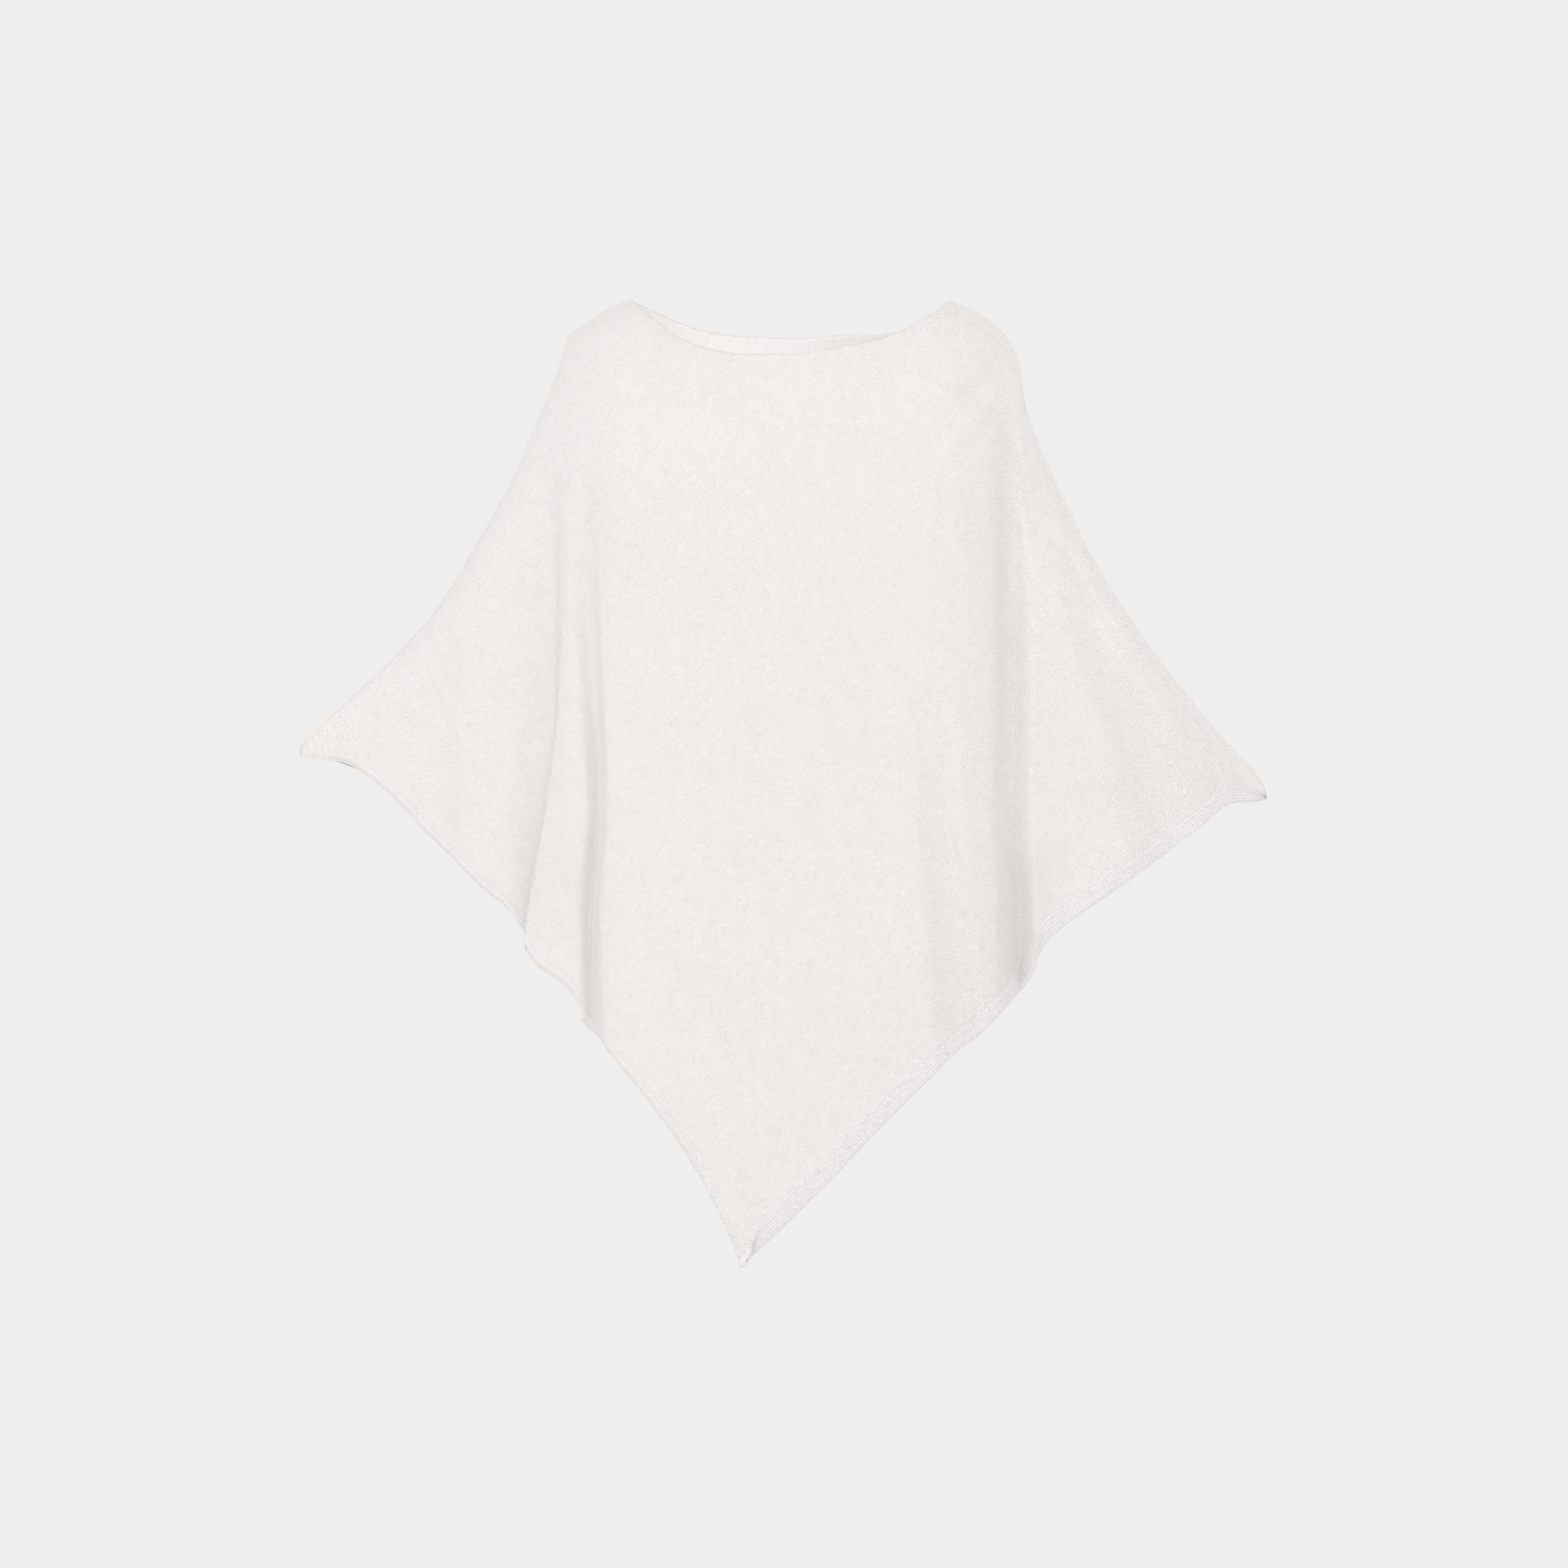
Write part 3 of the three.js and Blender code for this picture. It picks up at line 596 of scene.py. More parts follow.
def seam_and_hem_relief(panel, s, points, drop):
    """How far the seam allowances, the rolled hem and its stitch line push the face out."""
    below_ridge = ridge(s) - points[..., 2]
    on_arm = smooth_step((np.abs(s) - OPENING_HALF_WIDTH) / SEAM_STARTS_OVER)
    tip = smooth_step((SEAM_ENDS_AT - np.abs(s)) / SEAM_ENDS_OVER)
    seam_drop = np.where(s > 0, SEAM_LINE_FURTHER, SEAM_LINE_DROP) * smooth_step(below_arm_tip(s))
    clear = np.where(s > 0, SEAM_SHOWS_RIGHT, SEAM_SHOWS_LEFT)
    past_line = below_ridge - seam_drop
    seam = clear * SEAM_LINE_RAISE * (1 - smooth_step(past_line / SEAM_LINE_SOFTNESS))
    groove = clear * -SEAM_GROOVE_DEPTH * np.exp(-((past_line - SEAM_GROOVE_AT) / SEAM_GROOVE_WIDTH) ** 2)
    slant = slant_of_hem(panel, s)
    up = (hang_height(panel, s) - drop) / slant
    plain = (1 - band_share(panel, s)) * smooth_step(hang_height(panel, s) / ROOM_FOR_ROLL)
    rolled = -ROLL_DEPTH * (1 - smooth_step(up / ROLL_REACH)) ** ROLL_SHARPNESS
    line = -HEM_LINE_DEPTH * np.exp(-((up - HEM_LINE_AT) / HEM_LINE_WIDTH) ** 2)
    bulge = ROLL_BULGE * np.exp(-((up - HEM_LINE_AT / 2) / ROLL_BULGE_WIDTH) ** 2)
    return (seam + groove) * on_arm * tip + (rolled + line + bulge) * plain


def dressed_panel(panel):
    """A panel of cloth with its folds, its seam allowances and its rolled hem, as a closed wall."""
    s = followed_columns(panel)
    angle, drop = grid_rows(panel, s)
    points = face_point(panel, s, angle, drop)
    normals = face_normals(panel, s, angle, drop)
    cloth = cloth_lay(panel, s, angle, drop, points)
    outer = points + normals * seam_and_hem_relief(panel, s, points, drop)[..., None]
    inner = outer - normals * WALL
    rings = wall_rings(outer, inner)
    stations, around = rings.shape[:2]
    rows = outer.shape[1]
    rim = around - 2 * rows
    edge_cloth = [cloth[:, -1]] * rim
    cloth_rings = np.concatenate([cloth, np.stack(edge_cloth, axis=1), cloth[:, ::-1]], axis=1)
    quads = loop_faces(stations, around, False)
    index = np.arange(stations * around).reshape(stations, around)
    first, first_rim = end_strip(index[0], rows, rim)
    last, last_rim = end_strip(index[-1], rows, rim)
    faces = [quads, first, last[:, ::-1], first_rim, last_rim[:, ::-1]]
    piece = make_piece(f"{panel.side}_knit", rings.reshape(-1, 3), faces, cloth_rings.reshape(-1, 2) * MM)
    return piece, outer, normals


front_knit, front_face, front_out = dressed_panel(FRONT)
back_knit, back_face, back_out = dressed_panel(BACK)


# Tubular bands

BAND_ROWS = 5
BAND_ROW_HEIGHT = 0.75
BAND_RAISE = 1.2
BAND_TUCK = 0.07
BAND_TUCK_DEPTH = 1.3
BAND_TUCK_INNER = 1.1
BAND_RAISED_BY = 0.12
BAND_ROWS_START_BY = 0.1
BAND_LOWER_EDGE = 0.16
BAND_EDGE_THINS = 0.75
BAND_SECTION_POINTS = 44


def hem_band(panel):
    """The tubular band on one lower edge. Its knit rows run along it, and its top tucks into the panel."""
    starts = panel.point_x + panel.band_side * BAND_BEGINS
    s = panel.columns[(panel.columns - starts) * panel.band_side > 0]
    s = np.sort(np.append(s, starts))
    share = np.linspace(-BAND_TUCK, 1, BAND_SECTION_POINTS)
    ss, shares = np.meshgrid(s, share, indexing="ij")
    down = hang_height(panel, ss) - band_height(panel, ss) * (1 - shares)
    points = face_point(panel, ss, math.pi / 2, down)
    normals = face_normals(panel, ss, math.pi / 2, down)
    rows = np.abs(np.sin(math.pi * BAND_ROWS * np.clip(shares, 0, 1)))
    thinned = BAND_EDGE_THINS * smooth_step((shares - (1 - BAND_LOWER_EDGE)) / BAND_LOWER_EDGE)
    lift = BAND_RAISE * smooth_step(shares / BAND_RAISED_BY) * (1 - thinned)
    lift = lift + BAND_ROW_HEIGHT * (rows - 0.5) * smooth_step(shares / BAND_ROWS_START_BY)
    tucked = smooth_step(-shares / BAND_TUCK)
    outer = points + normals * (lift - BAND_TUCK_DEPTH * tucked)[..., None]
    inner = points - normals * (WALL + 0.5 * lift - BAND_TUCK_INNER * tucked)[..., None]
    rings = wall_rings(outer, inner)
    stations, around = rings.shape[:2]
    rim = around - 2 * len(share)
    along = length_along(outer, 0)
    across = length_along(outer, 1)
    cloth = np.stack([along, across], axis=-1)
    cloth_rings = np.concatenate([cloth, np.stack([cloth[:, -1]] * rim, axis=1), cloth[:, ::-1]], axis=1)
    index = np.arange(stations * around).reshape(stations, around)
    first, first_rim = end_strip(index[0], len(share), rim)
    last, last_rim = end_strip(index[-1], len(share), rim)
    faces = [loop_faces(stations, around, False), first, last[:, ::-1], first_rim, last_rim[:, ::-1]]
    name = f"{panel.side}_band"
    return make_piece(name, rings.reshape(-1, 3), faces, cloth_rings.reshape(-1, 2) * MM)


front_band = hem_band(FRONT)
back_band = hem_band(BACK)


# Neck trim

TRIM_STATIONS = 260

# The trim's section, as (width, out): the distance in from the panels' edge, and from the cloth's face
TRIM_SECTION = [
    (-2.2, -0.20), (-1.6, 0.06), (-0.6, 0.12), (0.8, 0.10), (2.4, 0.16), (3.6, 0.14), (4.5, -0.10),
    (5.0, -0.70), (5.1, -1.35), (4.9, -2.00), (4.3, -2.50), (3.2, -2.72), (1.6, -2.68), (0.2, -2.66),
    (-1.2, -2.64), (-2.2, -2.30),
]


def neck_loop(half_width):
    """The neck's line on both panels, for a loop of the given half width, as (station, 3)."""
    turn = (np.arange(TRIM_STATIONS) + 0.5) / TRIM_STATIONS * math.pi
    sides = []
    for panel, way in ((FRONT, -1), (BACK, 1)):
        s = way * np.cos(turn) * half_width
        sides.append(face_point(panel, s, neck_angle(panel, s, half_width), 0))
    return np.concatenate(sides)


def around_closed(points):
    return np.roll(points, -1, axis=0) - np.roll(points, 1, axis=0)


def tube_rings(middle, wide, thick, around):
    """Rings of a tube with an elliptic section, from its middle line and its two half axes."""
    turns = np.arange(around) * 2 * math.pi / around
    return np.stack([middle + wide * math.cos(t) + thick * math.sin(t) for t in turns], axis=1)


foot_line = neck_loop(NECK_HALF_WIDTH + TRIM_WIDTH)
head_line = neck_loop(NECK_HALF_WIDTH)
neck_out = unit(np.cross(around_closed(foot_line), head_line - foot_line))
neck_side = unit(head_line - foot_line)
trim_rings = np.stack(
    [neck_loop(NECK_HALF_WIDTH + TRIM_WIDTH - width) + neck_out * out for width, out in TRIM_SECTION],
    axis=1,
)
trim_along = np.cumsum(np.linalg.norm(around_closed(foot_line) / 2, axis=1))
trim_map = turned_lay(*np.broadcast_arrays(trim_along[:, None], length_along(trim_rings, 1)), 1)
neck_trim = make_piece(
    "neck_edge", trim_rings.reshape(-1, 3), [loop_faces(len(trim_rings), len(TRIM_SECTION), True)],
    trim_map.reshape(-1, 2) * MM,
)


# Arm seams: a low ridge that closes the joint of the two panels along each arm

ARM_SEAM_HALF_WIDTH = 1.7
ARM_SEAM_HALF_HEIGHT = 1.0
ARM_SEAM_AROUND = 12
ARM_SEAM_STATIONS = 260
ARM_SEAM_RAISE = 0.1
ARM_SEAM_SUNK = 0.3
ARM_SEAM_TAPER_STATIONS = 6
ARM_SEAM_END_SIZE = 0.25
ARM_SEAM_LEFT_END = -468
ARM_SEAM_RIGHT_END = 452
ARM_SEAM_UNDER_TRIM = 2
YARN_LAY_STEP = 0.8


def capped_tube(name, rings):
    stations, around = rings.shape[:2]
    index = np.arange(stations * around).reshape(stations, around)
    faces = [loop_faces(stations, around, False), index[:1][:, ::-1], index[-1:]]
    along = length_along(rings[:, 0], 0)
    lay = np.stack(np.meshgrid(along, np.arange(around) * YARN_LAY_STEP, indexing="ij"), axis=-1)
    return make_piece(name, rings.reshape(-1, 3), faces, lay.reshape(-1, 2) * MM)


def arm_line(start, end):
    s = np.linspace(start, end, ARM_SEAM_STATIONS)
    return np.stack([s, np.zeros_like(s), ridge(s) + ARM_SEAM_RAISE], axis=-1)


def arm_seam(name, line):
    """The seam along one arm, drawn out to nothing at the arm's tip and at the neck."""
    along = unit(np.gradient(line, axis=0))
    side = np.tile([0.0, 1.0, 0.0], (len(line), 1))
    up = unit(np.cross(side, along))
    up = up * np.sign(up[:, 2:])
    station = np.arange(len(line))
    ends = np.minimum(1, np.minimum(station, station[::-1]) / ARM_SEAM_TAPER_STATIONS)[:, None]
    size = ARM_SEAM_END_SIZE + (1 - ARM_SEAM_END_SIZE) * ends
    middle = line - up * ARM_SEAM_SUNK
    wide = side * ARM_SEAM_HALF_WIDTH * size
    thick = up * ARM_SEAM_HALF_HEIGHT * size
    return capped_tube(name, tube_rings(middle, wide, thick, ARM_SEAM_AROUND)), up


left_arm_line = arm_line(ARM_SEAM_LEFT_END, -OPENING_HALF_WIDTH + ARM_SEAM_UNDER_TRIM)
right_arm_line = arm_line(OPENING_HALF_WIDTH - ARM_SEAM_UNDER_TRIM, ARM_SEAM_RIGHT_END)
left_arm_seam, left_arm_up = arm_seam("left_arm_seam", left_arm_line)
right_arm_seam, right_arm_up = arm_seam("right_arm_seam", right_arm_line)


# The front band's lower end curls up into a small knob at the point

KNOB_TOP = (-31, -885)
KNOB_FOOT = (-48, -908)
KNOB_HALF_WIDTH = 5.0
KNOB_HALF_HEIGHT = 3.4
KNOB_STATIONS = 40
KNOB_AROUND = 20
KNOB_FOOT_OUT = 0.6
KNOB_TOP_SIZE = 0.72
KNOB_BLUNTNESS = 0.0006


def band_end_knob(panel):
    """The band's curled end, as a short blunt tube that lies along the hem at the point."""
    share = np.sin(np.linspace(-math.pi / 2, math.pi / 2, KNOB_STATIONS)) / 2 + 0.5
    s, z = (KNOB_TOP[k] + (KNOB_FOOT[k] - KNOB_TOP[k]) * share for k in (0, 1))
    depth = panel.depth(s) - POINT_DRAWN_IN
    middle = np.stack([s, panel.facing * (depth - WALL / 2 + KNOB_FOOT_OUT * share), z], axis=-1)
    along = unit(np.gradient(middle, axis=0))
    out = np.tile([0.0, float(panel.facing), 0.0], (len(s), 1))
    blunt = np.sqrt(np.maximum(KNOB_BLUNTNESS, 1 - (2 * share - 1) ** 2))
    size = (blunt * (KNOB_TOP_SIZE + (1 - KNOB_TOP_SIZE) * share))[:, None]
    wide = unit(np.cross(along, out)) * KNOB_HALF_WIDTH * size
    thick = out * KNOB_HALF_HEIGHT * size
    return capped_tube("band_end_knob", tube_rings(middle, wide, thick, KNOB_AROUND))


knob = band_end_knob(FRONT)


# Finishes

CLOTH_COLOUR = (0.873, 0.838, 0.819)
EDGE_COLOUR = (0.886, 0.852, 0.842)
SEAM_COLOUR = (0.850, 0.815, 0.785)
# Darker yarn for the loops along the neck's edge: painted shadow, standing for the shade line under the
# rolled neck edge
NECK_SHADOW_COLOUR = (0.735, 0.705, 0.685)
COURSE_PITCH = 1.7
WALE_PITCH = 2.2

# How the yarn wanders, as (scale, reach in metres), and how its legs and loops are shaped
WIDE_WANDER = (55.0, 0.0030)
FINE_WANDER = (330.0, 0.0007)
WALE_WANDER = -0.8
LEG_SLANT = 1.5
ROW_ROUNDNESS = 0.6
COLUMN_ROUNDNESS = 0.5

# Scales of the uneven yarn, from the widest to the finest
PATCH_SCALE = 14.0
STREAK_SCALES = (70.0, 420.0)
MOTTLE_SCALE = 270.0
GRAIN_SCALE = 640.0
FUZZ_SCALE = 1500.0

# The share of the loops' own relief that each one has, and how strongly all of it shows
STREAK_RELIEF = 0.6
FUZZ_RELIEF = 0.8
MOTTLE_RELIEF = 2.2
RELIEF_STRENGTH = 0.8

# Shades, as (strength, least): what each one multiplies the colour by
# Painted shade in the grooves between stitches: the loops' height at which it leaves the colour as it is
PAINTED_GROOVE_EVEN_AT = 0.62
STREAK_SHADE = (0.07, 0.965)
PATCH_SHADE = (0.035, 0.9825)
MOTTLE_SHADE = (0.075, 0.9675)
GRAIN_SHADE = (0.24, 0.89)
FUZZ_SHADE = (0.08, 0.96)

YARN_SURFACE = {
    "Roughness": 0.92, "Specular IOR Level": 0.15, "Sheen Weight": 0.12, "Sheen Roughness": 0.55,
    "Sheen Tint": (1.0, 0.97, 0.95, 1.0),
}


class Nodes:
    """Short calls for building one node tree."""

    def __init__(self, tree):
        self.tree = tree

    def add(self, kind, **settings):
        node = self.tree.nodes.new(kind)
        for name, value in settings.items():
            setattr(node, name, value)
        return node

    def feed(self, socket, value):
        if isinstance(value, bpy.types.NodeSocket):
            self.tree.links.new(value, socket)
        else:
            socket.default_value = value

    def maths(self, operation, first, second=0.0, third=0.0):
        node = self.add("ShaderNodeMath", operation=operation)
        for socket, value in zip(node.inputs, (first, second, third)):
            self.feed(socket, value)
        return node.outputs[0]

    def noise(self, vector, scale, detail=2.0, roughness=0.5):
        node = self.add("ShaderNodeTexNoise")
        self.feed(node.inputs["Vector"], vector)
        self.feed(node.inputs["Scale"], scale)
        self.feed(node.inputs["Detail"], detail)
        self.feed(node.inputs["Roughness"], roughness)
        return node.outputs["Fac"]


def knit_finish(name, colour, course_pitch, wale_pitch, depth, painted_groove_shade):
    """Fine plain knit in soft, lightly brushed yarn: V-shaped stitches in uneven rows, with painted shade
    in the grooves between them. The pitches and the relief's depth are in millimetres."""
    finish = bpy.data.materials.new(name)
    finish.use_nodes = True
    tree = finish.node_tree
    tree.nodes.clear()
    n = Nodes(tree)
    place = n.add("ShaderNodeTexCoord").outputs["Object"]
    lay = n.add("ShaderNodeUVMap", uv_map="cloth").outputs["UV"]
    split = n.add("ShaderNodeSeparateXYZ")
    n.feed(split.inputs[0], lay)

    # The yarn wanders a little, so rows are never quite straight
    wide_wander = n.maths("SUBTRACT", n.noise(place, WIDE_WANDER[0]), 0.5)
    fine_wander = n.maths("SUBTRACT", n.noise(place, FINE_WANDER[0]), 0.5)
    fine_wander = n.maths("MULTIPLY", fine_wander, FINE_WANDER[1])
    wander = n.maths("MULTIPLY_ADD", wide_wander, WIDE_WANDER[1], fine_wander)
    course = n.maths("ADD", split.outputs[0], wander)
    wale = n.maths("ADD", split.outputs[1], n.maths("MULTIPLY", wander, WALE_WANDER))

    # Stitches: two slanting legs to a loop
    across = n.maths("DIVIDE", course, wale_pitch * MM)
    up = n.maths("DIVIDE", wale, course_pitch * MM)
    leg = n.maths("PINGPONG", across, 0.5)
    slanted = n.maths("MULTIPLY_ADD", leg, LEG_SLANT, up)
    row = n.maths("SINE", n.maths("MULTIPLY", slanted, 2 * math.pi))
    row = n.maths("MULTIPLY_ADD", row, 0.5, 0.5)
    column = n.maths("ABSOLUTE", n.maths("SINE", n.maths("MULTIPLY", across, 2 * math.pi)))
    row = n.maths("POWER", row, ROW_ROUNDNESS)
    loops = n.maths("MULTIPLY", row, n.maths("POWER", column, COLUMN_ROUNDNESS))

    # Yarn is thicker and thinner along a row, and the surface is softly brushed
    stretched = n.add("ShaderNodeCombineXYZ")
    n.feed(stretched.inputs[0], n.maths("MULTIPLY", course, STREAK_SCALES[0]))
    n.feed(stretched.inputs[1], n.maths("MULTIPLY", wale, STREAK_SCALES[1]))
    streaks = n.noise(stretched.outputs[0], 1.0, 2.0)
    fuzz = n.noise(place, FUZZ_SCALE, 3.0, 0.65)
    patches = n.noise(place, PATCH_SCALE, 3.0)
    mottle = n.noise(place, MOTTLE_SCALE, 3.0, 0.7)
    grain = n.noise(place, GRAIN_SCALE, 1.0)

    height = loops
    for texture, relief in ((streaks, STREAK_RELIEF), (fuzz, FUZZ_RELIEF), (mottle, MOTTLE_RELIEF)):
        height = n.maths("MULTIPLY_ADD", texture, relief, height)
    bump = n.add("ShaderNodeBump")
    bump.inputs["Strength"].default_value = RELIEF_STRENGTH
    bump.inputs["Distance"].default_value = depth * MM
    n.feed(bump.inputs["Height"], height)

    # Colour: painted shade between stitches, paler on the streaks, with grain and very faint patches
    # The loops' grooves are darkened here as painted shade
    shade = n.maths("MULTIPLY_ADD", loops, painted_groove_shade, 1.0 - painted_groove_shade * PAINTED_GROOVE_EVEN_AT)
    for texture, (strength, least) in (
        (streaks, STREAK_SHADE), (patches, PATCH_SHADE), (mottle, MOTTLE_SHADE), (grain, GRAIN_SHADE),
        (fuzz, FUZZ_SHADE),
    ):
        shade = n.maths("MULTIPLY", shade, n.maths("MULTIPLY_ADD", texture, strength, least))
    tint = n.add("ShaderNodeVectorMath", operation="SCALE")
    tint.inputs[0].default_value = colour
    n.feed(tint.inputs["Scale"], shade)

    surface = n.add("ShaderNodeBsdfPrincipled")
    for socket, value in YARN_SURFACE.items():
        surface.inputs[socket].default_value = value
    n.feed(surface.inputs["Base Color"], tint.outputs[0])
    n.feed(surface.inputs["Normal"], bump.outputs["Normal"])
    out = n.add("ShaderNodeOutputMaterial")
    n.feed(out.inputs["Surface"], surface.outputs[0])
    return finish


panel_knit = knit_finish(
    "soft panel knit", CLOTH_COLOUR, COURSE_PITCH, WALE_PITCH, depth=0.45, painted_groove_shade=0.16,
)
edge_knit = knit_finish(
    "firm edge knit", EDGE_COLOUR, course_pitch=1.25, wale_pitch=2.0, depth=0.35, painted_groove_shade=0.14,
)
# The second finish is the neck loops' darker yarn, a painted shadow along the neck's edge
seam_yarn, neck_shadow_yarn = (
    knit_finish(name, colour, course_pitch=0.5, wale_pitch=0.7, depth=0.15, painted_groove_shade=0.10)
    for name, colour in (("seam yarn", SEAM_COLOUR), ("neck edge yarn in painted shadow", NECK_SHADOW_COLOUR))
)


# Stitches

def stitch_maker(name, finish):
    """Geometry Nodes that set one V stitch on each point, along the seam and standing on the cloth."""
    tree = bpy.data.node_groups.new(name, "GeometryNodeTree")
    face = tree.interface
    face.new_socket("Geometry", in_out="INPUT", socket_type="NodeSocketGeometry")
    for size in ("Stitch length", "Yarn thickness", "Leg spacing", "Leg turn", "Unevenness"):
        face.new_socket(size, in_out="INPUT", socket_type="NodeSocketFloat")
    face.new_socket("Seed", in_out="INPUT", socket_type="NodeSocketInt")
    face.new_socket("Geometry", in_out="OUTPUT", socket_type="NodeSocketGeometry")
    n = Nodes(tree)
    given = n.add("NodeGroupInput").outputs
    ball = n.add("GeometryNodeMeshUVSphere")
    ball.inputs["Segments"].default_value = 8
    ball.inputs["Rings"].default_value = 6
    ball.inputs["Radius"].default_value = 0.5
    shape = n.add("ShaderNodeCombineXYZ")
    n.feed(shape.inputs[0], given["Stitch length"])
    n.feed(shape.inputs[1], given["Yarn thickness"])
    n.feed(shape.inputs[2], given["Yarn thickness"])
    join = n.add("GeometryNodeJoinGeometry")
    for way in (-1.0, 1.0):
        leg = n.add("GeometryNodeTransform")
        n.feed(leg.inputs["Geometry"], ball.outputs["Mesh"])
        n.feed(leg.inputs["Scale"], shape.outputs[0])
        spot = n.add("ShaderNodeCombineXYZ")
        n.feed(spot.inputs[1], n.maths("MULTIPLY", given["Leg spacing"], way * 0.5))
        n.feed(leg.inputs["Translation"], spot.outputs[0])
        turn = n.add("ShaderNodeCombineXYZ")
        n.feed(turn.inputs[2], n.maths("MULTIPLY", given["Leg turn"], way))
        n.feed(leg.inputs["Rotation"], turn.outputs[0])
        n.feed(join.inputs[0], leg.outputs[0])
    directions = []
    for held in ("along", "out"):
        named = n.add("GeometryNodeInputNamedAttribute", data_type="FLOAT_VECTOR")
        named.inputs["Name"].default_value = held
        directions.append(named.outputs["Attribute"])
    lengthways = n.add("FunctionNodeAlignRotationToVector", axis="X")
    n.feed(lengthways.inputs["Vector"], directions[0])
    standing = n.add("FunctionNodeAlignRotationToVector", axis="Z", pivot_axis="X")
    n.feed(standing.inputs["Rotation"], lengthways.outputs[0])
    n.feed(standing.inputs["Vector"], directions[1])
    size = n.add("FunctionNodeRandomValue", data_type="FLOAT")
    n.feed(size.inputs[2], n.maths("SUBTRACT", 1.0, given["Unevenness"]))
    n.feed(size.inputs[3], n.maths("ADD", 1.0, given["Unevenness"]))
    n.feed(size.inputs["Seed"], given["Seed"])
    placed = n.add("GeometryNodeInstanceOnPoints")
    n.feed(placed.inputs["Points"], given["Geometry"])
    n.feed(placed.inputs["Instance"], join.outputs[0])
    n.feed(placed.inputs["Rotation"], standing.outputs[0])
    n.feed(placed.inputs["Scale"], size.outputs[1])
    real = n.add("GeometryNodeRealizeInstances")
    n.feed(real.inputs[0], placed.outputs[0])
    smooth = n.add("GeometryNodeSetShadeSmooth")
    n.feed(smooth.inputs["Geometry"], real.outputs[0])
    dressed = n.add("GeometryNodeSetMaterial")
    dressed.inputs["Material"].default_value = finish
    n.feed(dressed.inputs["Geometry"], smooth.outputs[0])
    n.feed(n.add("NodeGroupOutput").inputs[0], dressed.outputs[0])
    return tree


seam_stitches = stitch_maker("stitches along a seam", seam_yarn)
shadowed_neck_loops = stitch_maker("loops along the neck in painted shadow", neck_shadow_yarn)


def spaced(points, normals, pitch, closed=False):
    """Points a pitch apart along a path, with the path's direction and the cloth's normal at each."""
    if closed:
        points = np.vstack([points, points[:1]])
        normals = np.vstack([normals, normals[:1]])
    step = np.linalg.norm(np.diff(points, axis=0), axis=1)
    at = np.concatenate([[0], np.cumsum(step)])
    count = int(at[-1] / pitch)
    where = (np.arange(count) + 0.5) * at[-1] / count
    set_out = np.stack([np.interp(where, at, points[:, k]) for k in range(3)], axis=1)
    out = unit(np.stack([np.interp(where, at, normals[:, k]) for k in range(3)], axis=1))
    along = unit(np.gradient(set_out, axis=0))
    return set_out, along, out


def stitch_row(name, rows, sizes, seed, stitches=seam_stitches):
    """Rows of stitches as one plain mesh. sizes are the tree's named inputs, with lengths in millimetres."""
    set_out, along, out = (np.concatenate(part) for part in zip(*rows))
    seam = bpy.data.meshes.new(name + " points")
    seam.from_pydata((set_out * MM).tolist(), [], [])
    for held, value in (("along", along), ("out", out)):
        seam.attributes.new(held, "FLOAT_VECTOR", "POINT").data.foreach_set("vector", value.reshape(-1))
    holder = bpy.data.objects.new(name + " points", seam)
    bpy.context.scene.collection.objects.link(holder)
    modifier = holder.modifiers.new("stitches", "NODES")
    modifier.node_group = stitches
    inputs = [item for item in stitches.interface.items_tree if item.in_out == "INPUT"]
    sockets = {item.name: item.identifier for item in inputs}
    for size, value in sizes.items():
        modifier[sockets[size]] = value if size in ("Leg turn", "Unevenness") else value * MM
    modifier[sockets["Seed"]] = seed
    made = bpy.data.meshes.new_from_object(holder.evaluated_get(bpy.context.evaluated_depsgraph_get()))
    made.name = name
    holder.modifiers.remove(modifier)
    bpy.data.objects.remove(holder)
    bpy.data.meshes.remove(seam)
    piece = bpy.data.objects.new(name, made)
    bpy.context.scene.collection.objects.link(piece)
    return piece


LINKING = {
    "Stitch length": 2.3, "Yarn thickness": 0.75, "Leg spacing": 0.9, "Leg turn": 0.45, "Unevenness": 0.12,
}
EDGE_LOOPS = {
    "Stitch length": 1.8, "Yarn thickness": 0.6, "Leg spacing": 0.6, "Leg turn": 0.35, "Unevenness": 0.25,
}
SEAMING = {
    "Stitch length": 2.6, "Yarn thickness": 0.9, "Leg spacing": 1.4, "Leg turn": 0.5, "Unevenness": 0.12,
}
CASTING_OFF = {
    "Stitch length": 2.2, "Yarn thickness": 0.9, "Leg spacing": 0.8, "Leg turn": 0.3, "Unevenness": 0.15,
}
EDGE_LOOP_PITCH = 1.9
EDGE_LOOP_INSET = 0.6
EDGE_LOOP_SUNK = 0.2
LINKING_PITCH = 2.5
LINKING_RAISE = 0.15
LINKING_CLEAR = 4
LINKING_ENDS_AT = 440
LINKING_STATIONS = 400
SEAMING_PITCH = 2.9
SEAMING_RAISE = 0.55
CASTING_OFF_PITCH = 2.3
CASTING_OFF_SUNK = 0.2
CASTING_OFF_CLEAR = 6
CASTING_OFF_ENDS_AT = 455


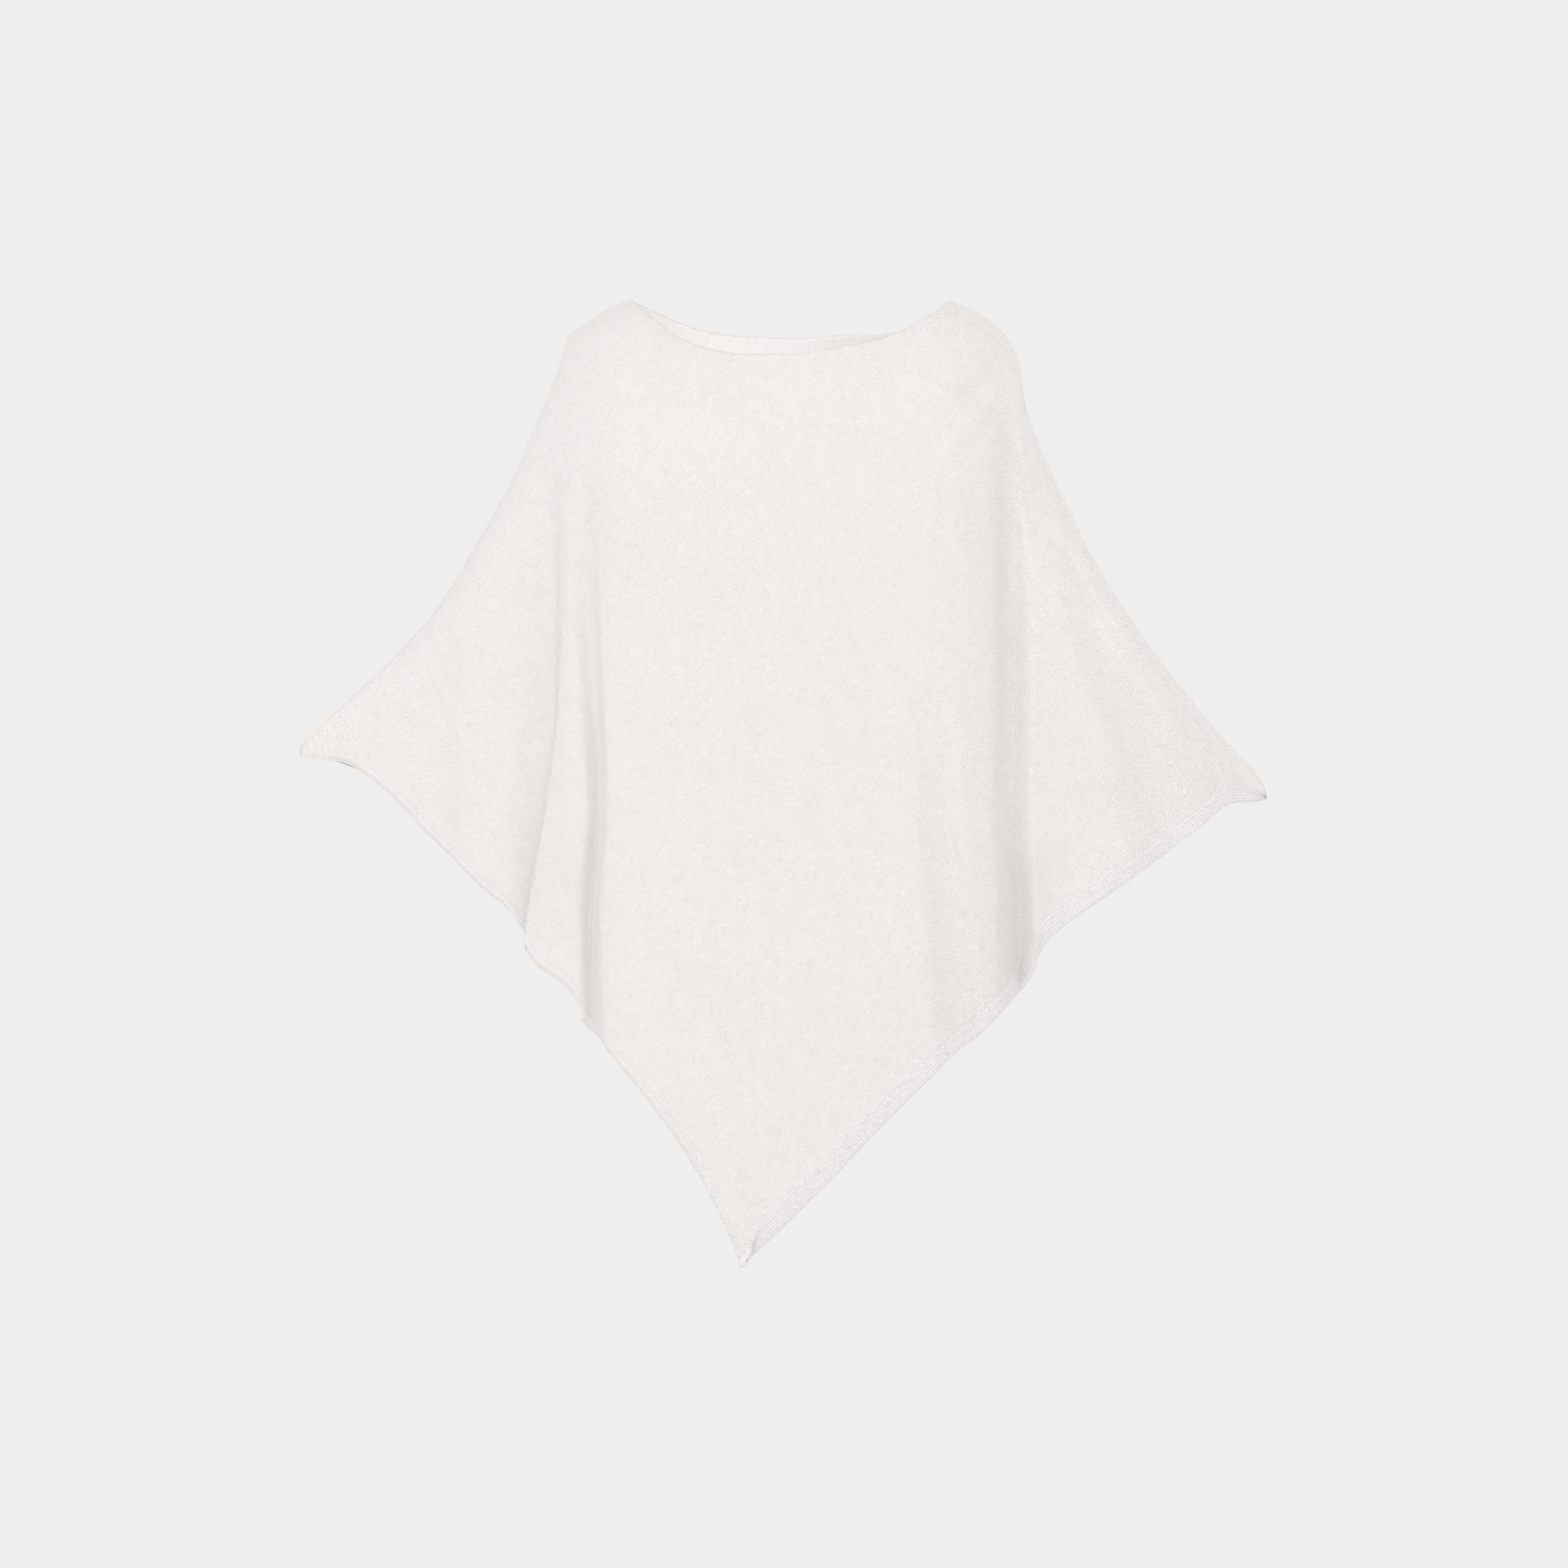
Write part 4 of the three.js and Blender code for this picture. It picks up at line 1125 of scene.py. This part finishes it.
def band_top_line(panel):
    """The line of the band's upper edge on the cloth's face."""
    starts = panel.point_x + panel.band_side * (BAND_BEGINS + LINKING_CLEAR)
    s = np.linspace(starts, panel.band_side * LINKING_ENDS_AT, LINKING_STATIONS)
    down = hang_height(panel, s) - band_height(panel, s)
    aside = np.stack([s - PROBE, s, s + PROBE])
    downs = np.stack([down, down, down])
    rows = [face_point(panel, aside, math.pi / 2, downs + d) for d in (-PROBE, 0, PROBE)]
    grid = np.stack(rows, axis=2)
    downwards = grid[1, :, 2] - grid[1, :, 0]
    sideways = grid[2, :, 1] - grid[0, :, 1]
    normals = unit(np.cross(downwards, sideways) * -panel.facing)
    return grid[1, :, 1] + normals * LINKING_RAISE, normals


def cast_off_line(panel, face, outward):
    """The plain hem's rolled lower edge, from the arm tip to the point."""
    chosen = (panel.columns - panel.point_x) * panel.band_side < -CASTING_OFF_CLEAR
    chosen &= np.abs(panel.columns) < CASTING_OFF_ENDS_AT
    normals = outward[chosen][:, -1]
    return face[chosen][:, -1] - normals * CASTING_OFF_SUNK, normals


# The loops along the neck take the darker yarn: a painted shadow line along the neck's edge
neck_loop_line = head_line - neck_side * EDGE_LOOP_INSET - neck_out * EDGE_LOOP_SUNK
neck_stitches = stitch_row(
    "neck_linking", [spaced(neck_loop_line, neck_out, EDGE_LOOP_PITCH, closed=True)], EDGE_LOOPS, 3,
    shadowed_neck_loops,
)
band_stitches = stitch_row(
    "band_linking", [spaced(*band_top_line(panel), LINKING_PITCH) for panel in (FRONT, BACK)], LINKING, 5,
)
arm_stitches = stitch_row(
    "arm_seam_stitches",
    [
        spaced(line + up * SEAMING_RAISE, up, SEAMING_PITCH)
        for line, up in ((left_arm_line, left_arm_up), (right_arm_line, right_arm_up))
    ],
    SEAMING, 7,
)
cast_off = stitch_row(
    "cast_off_edge",
    [
        spaced(*cast_off_line(*side), CASTING_OFF_PITCH)
        for side in ((FRONT, front_face, front_out), (BACK, back_face, back_out))
    ],
    CASTING_OFF, 11,
)

for piece in (front_knit, back_knit, neck_trim):
    piece.data.materials.append(panel_knit)
for piece in (front_band, back_band, knob):
    piece.data.materials.append(edge_knit)
for piece in (left_arm_seam, right_arm_seam):
    piece.data.materials.append(seam_yarn)


# Pieces on the frame

TRIM_PIECES = (front_band, back_band, neck_trim, neck_stitches, band_stitches, cast_off, knob)
SEAM_PIECES = (left_arm_seam, right_arm_seam, arm_stitches)
for piece in (front_knit, back_knit) + TRIM_PIECES + SEAM_PIECES:
    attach(piece, "root")
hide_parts("front_panel")
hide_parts("back_panel")
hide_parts("neck_trim")
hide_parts("front_hem_band")
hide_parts("back_hem_band")


# Studio

BACKGROUND = 0.855
SOFT_LIGHT = 0.74
FLOOR_LEVEL = -1.42
FLOOR_HALF_SIDE = 60.0
FLOOR_SHADE = 0.8
CAMERA_PLACE = (-0.007, -3.535, -0.462)
LENS = 84.99
SENSOR_WIDTH = 36
FARTHEST_SEEN = 300

# Soft lights, as (name, place, aim, side, power, colour). The last one, inside the garment, stands for the
# light that comes through thin cloth.
SOFT_LIGHTS = [
    ("key light", (-2.8, -2.4, 1.3), (0, 0, -0.4), 2.4, 39.5, (0.955, 0.965, 1)),
    ("side light", (3.0, -2.2, 1.5), (0, 0, -0.4), 2.4, 29, (0.97, 0.975, 1)),
    ("front light", (0.2, -4.8, 0.8), (0, 0, -0.45), 4.0, 54, (1, 0.993, 0.98)),
    ("back light", (0.6, 4.4, 1.6), (0, 0, -0.4), 3.5, 60, (1, 1, 1)),
    ("left back light", (-3.1, 2.6, 1.2), (0, 0, -0.4), 2.4, 20, (1, 1, 1)),
    ("right back light", (3.1, 2.6, 1.2), (0, 0, -0.4), 2.4, 20, (1, 1, 1)),
    ("light through the cloth", (-0.06, -0.02, -0.28), (-0.08, 0.05, -0.01), 0.14, 0.40, (0.94, 0.98, 1)),
]


def grey(level):
    return (level, level, level, 1)


def seen_and_lit(n, seen, lit):
    """The first shader where the camera looks at it, and the second for the light that it gives."""
    mixed = n.add("ShaderNodeMixShader")
    n.feed(mixed.inputs[0], n.add("ShaderNodeLightPath").outputs["Is Camera Ray"])
    n.feed(mixed.inputs[1], lit)
    n.feed(mixed.inputs[2], seen)
    return mixed.outputs[0]


def studio_floor():
    """A wide pale floor, in step with the background so that no edge shows behind the garment."""
    mesh = bpy.data.meshes.new("studio_floor")
    half = FLOOR_HALF_SIDE
    corners = [(x * half, y * half, FLOOR_LEVEL) for x, y in ((-1, -1), (1, -1), (1, 1), (-1, 1))]
    mesh.from_pydata(corners, [], [(0, 1, 2, 3)])
    floor = bpy.data.objects.new("studio_floor", mesh)
    bpy.context.scene.collection.objects.link(floor)
    paint = bpy.data.materials.new("pale floor")
    paint.use_nodes = True
    tree = paint.node_tree
    tree.nodes.clear()
    n = Nodes(tree)
    glow = n.add("ShaderNodeEmission")
    glow.inputs["Color"].default_value = grey(BACKGROUND)
    matt = n.add("ShaderNodeBsdfDiffuse")
    matt.inputs["Color"].default_value = grey(FLOOR_SHADE)
    both = seen_and_lit(n, glow.outputs[0], matt.outputs[0])
    n.feed(n.add("ShaderNodeOutputMaterial").inputs["Surface"], both)
    mesh.materials.append(paint)


def studio_air():
    """The pale background, and the softer light that comes from all round."""
    world = bpy.data.worlds.new("pale studio")
    world.use_nodes = True
    tree = world.node_tree
    tree.nodes.clear()
    n = Nodes(tree)
    seen = n.add("ShaderNodeBackground")
    seen.inputs["Color"].default_value = grey(BACKGROUND)
    lit = n.add("ShaderNodeBackground")
    lit.inputs["Color"].default_value = grey(SOFT_LIGHT)
    both = seen_and_lit(n, seen.outputs[0], lit.outputs[0])
    n.feed(n.add("ShaderNodeOutputWorld").inputs["Surface"], both)
    bpy.context.scene.world = world


def soft_light(name, place, aim, side, power, colour):
    lamp = bpy.data.lights.new(name, "AREA")
    lamp.color = colour
    lamp.shape = "SQUARE"
    lamp.size = side
    lamp.energy = power
    holder = bpy.data.objects.new(name, lamp)
    holder.location = place
    holder.rotation_euler = (Vector(aim) - Vector(place)).to_track_quat("-Z", "Y").to_euler()
    holder.visible_camera = False
    bpy.context.scene.collection.objects.link(holder)


def studio():
    studio_floor()
    studio_air()
    for light in SOFT_LIGHTS:
        soft_light(*light)
    lens = bpy.data.cameras.new("camera")
    lens.lens = LENS
    lens.sensor_width = SENSOR_WIDTH
    lens.clip_end = FARTHEST_SEEN
    camera = bpy.data.objects.new("camera", lens)
    camera.location = CAMERA_PLACE
    camera.rotation_euler = (math.pi / 2, 0, 0)
    bpy.context.scene.collection.objects.link(camera)
    bpy.context.scene.camera = camera
    bpy.context.scene.view_settings.view_transform = "Standard"


studio()
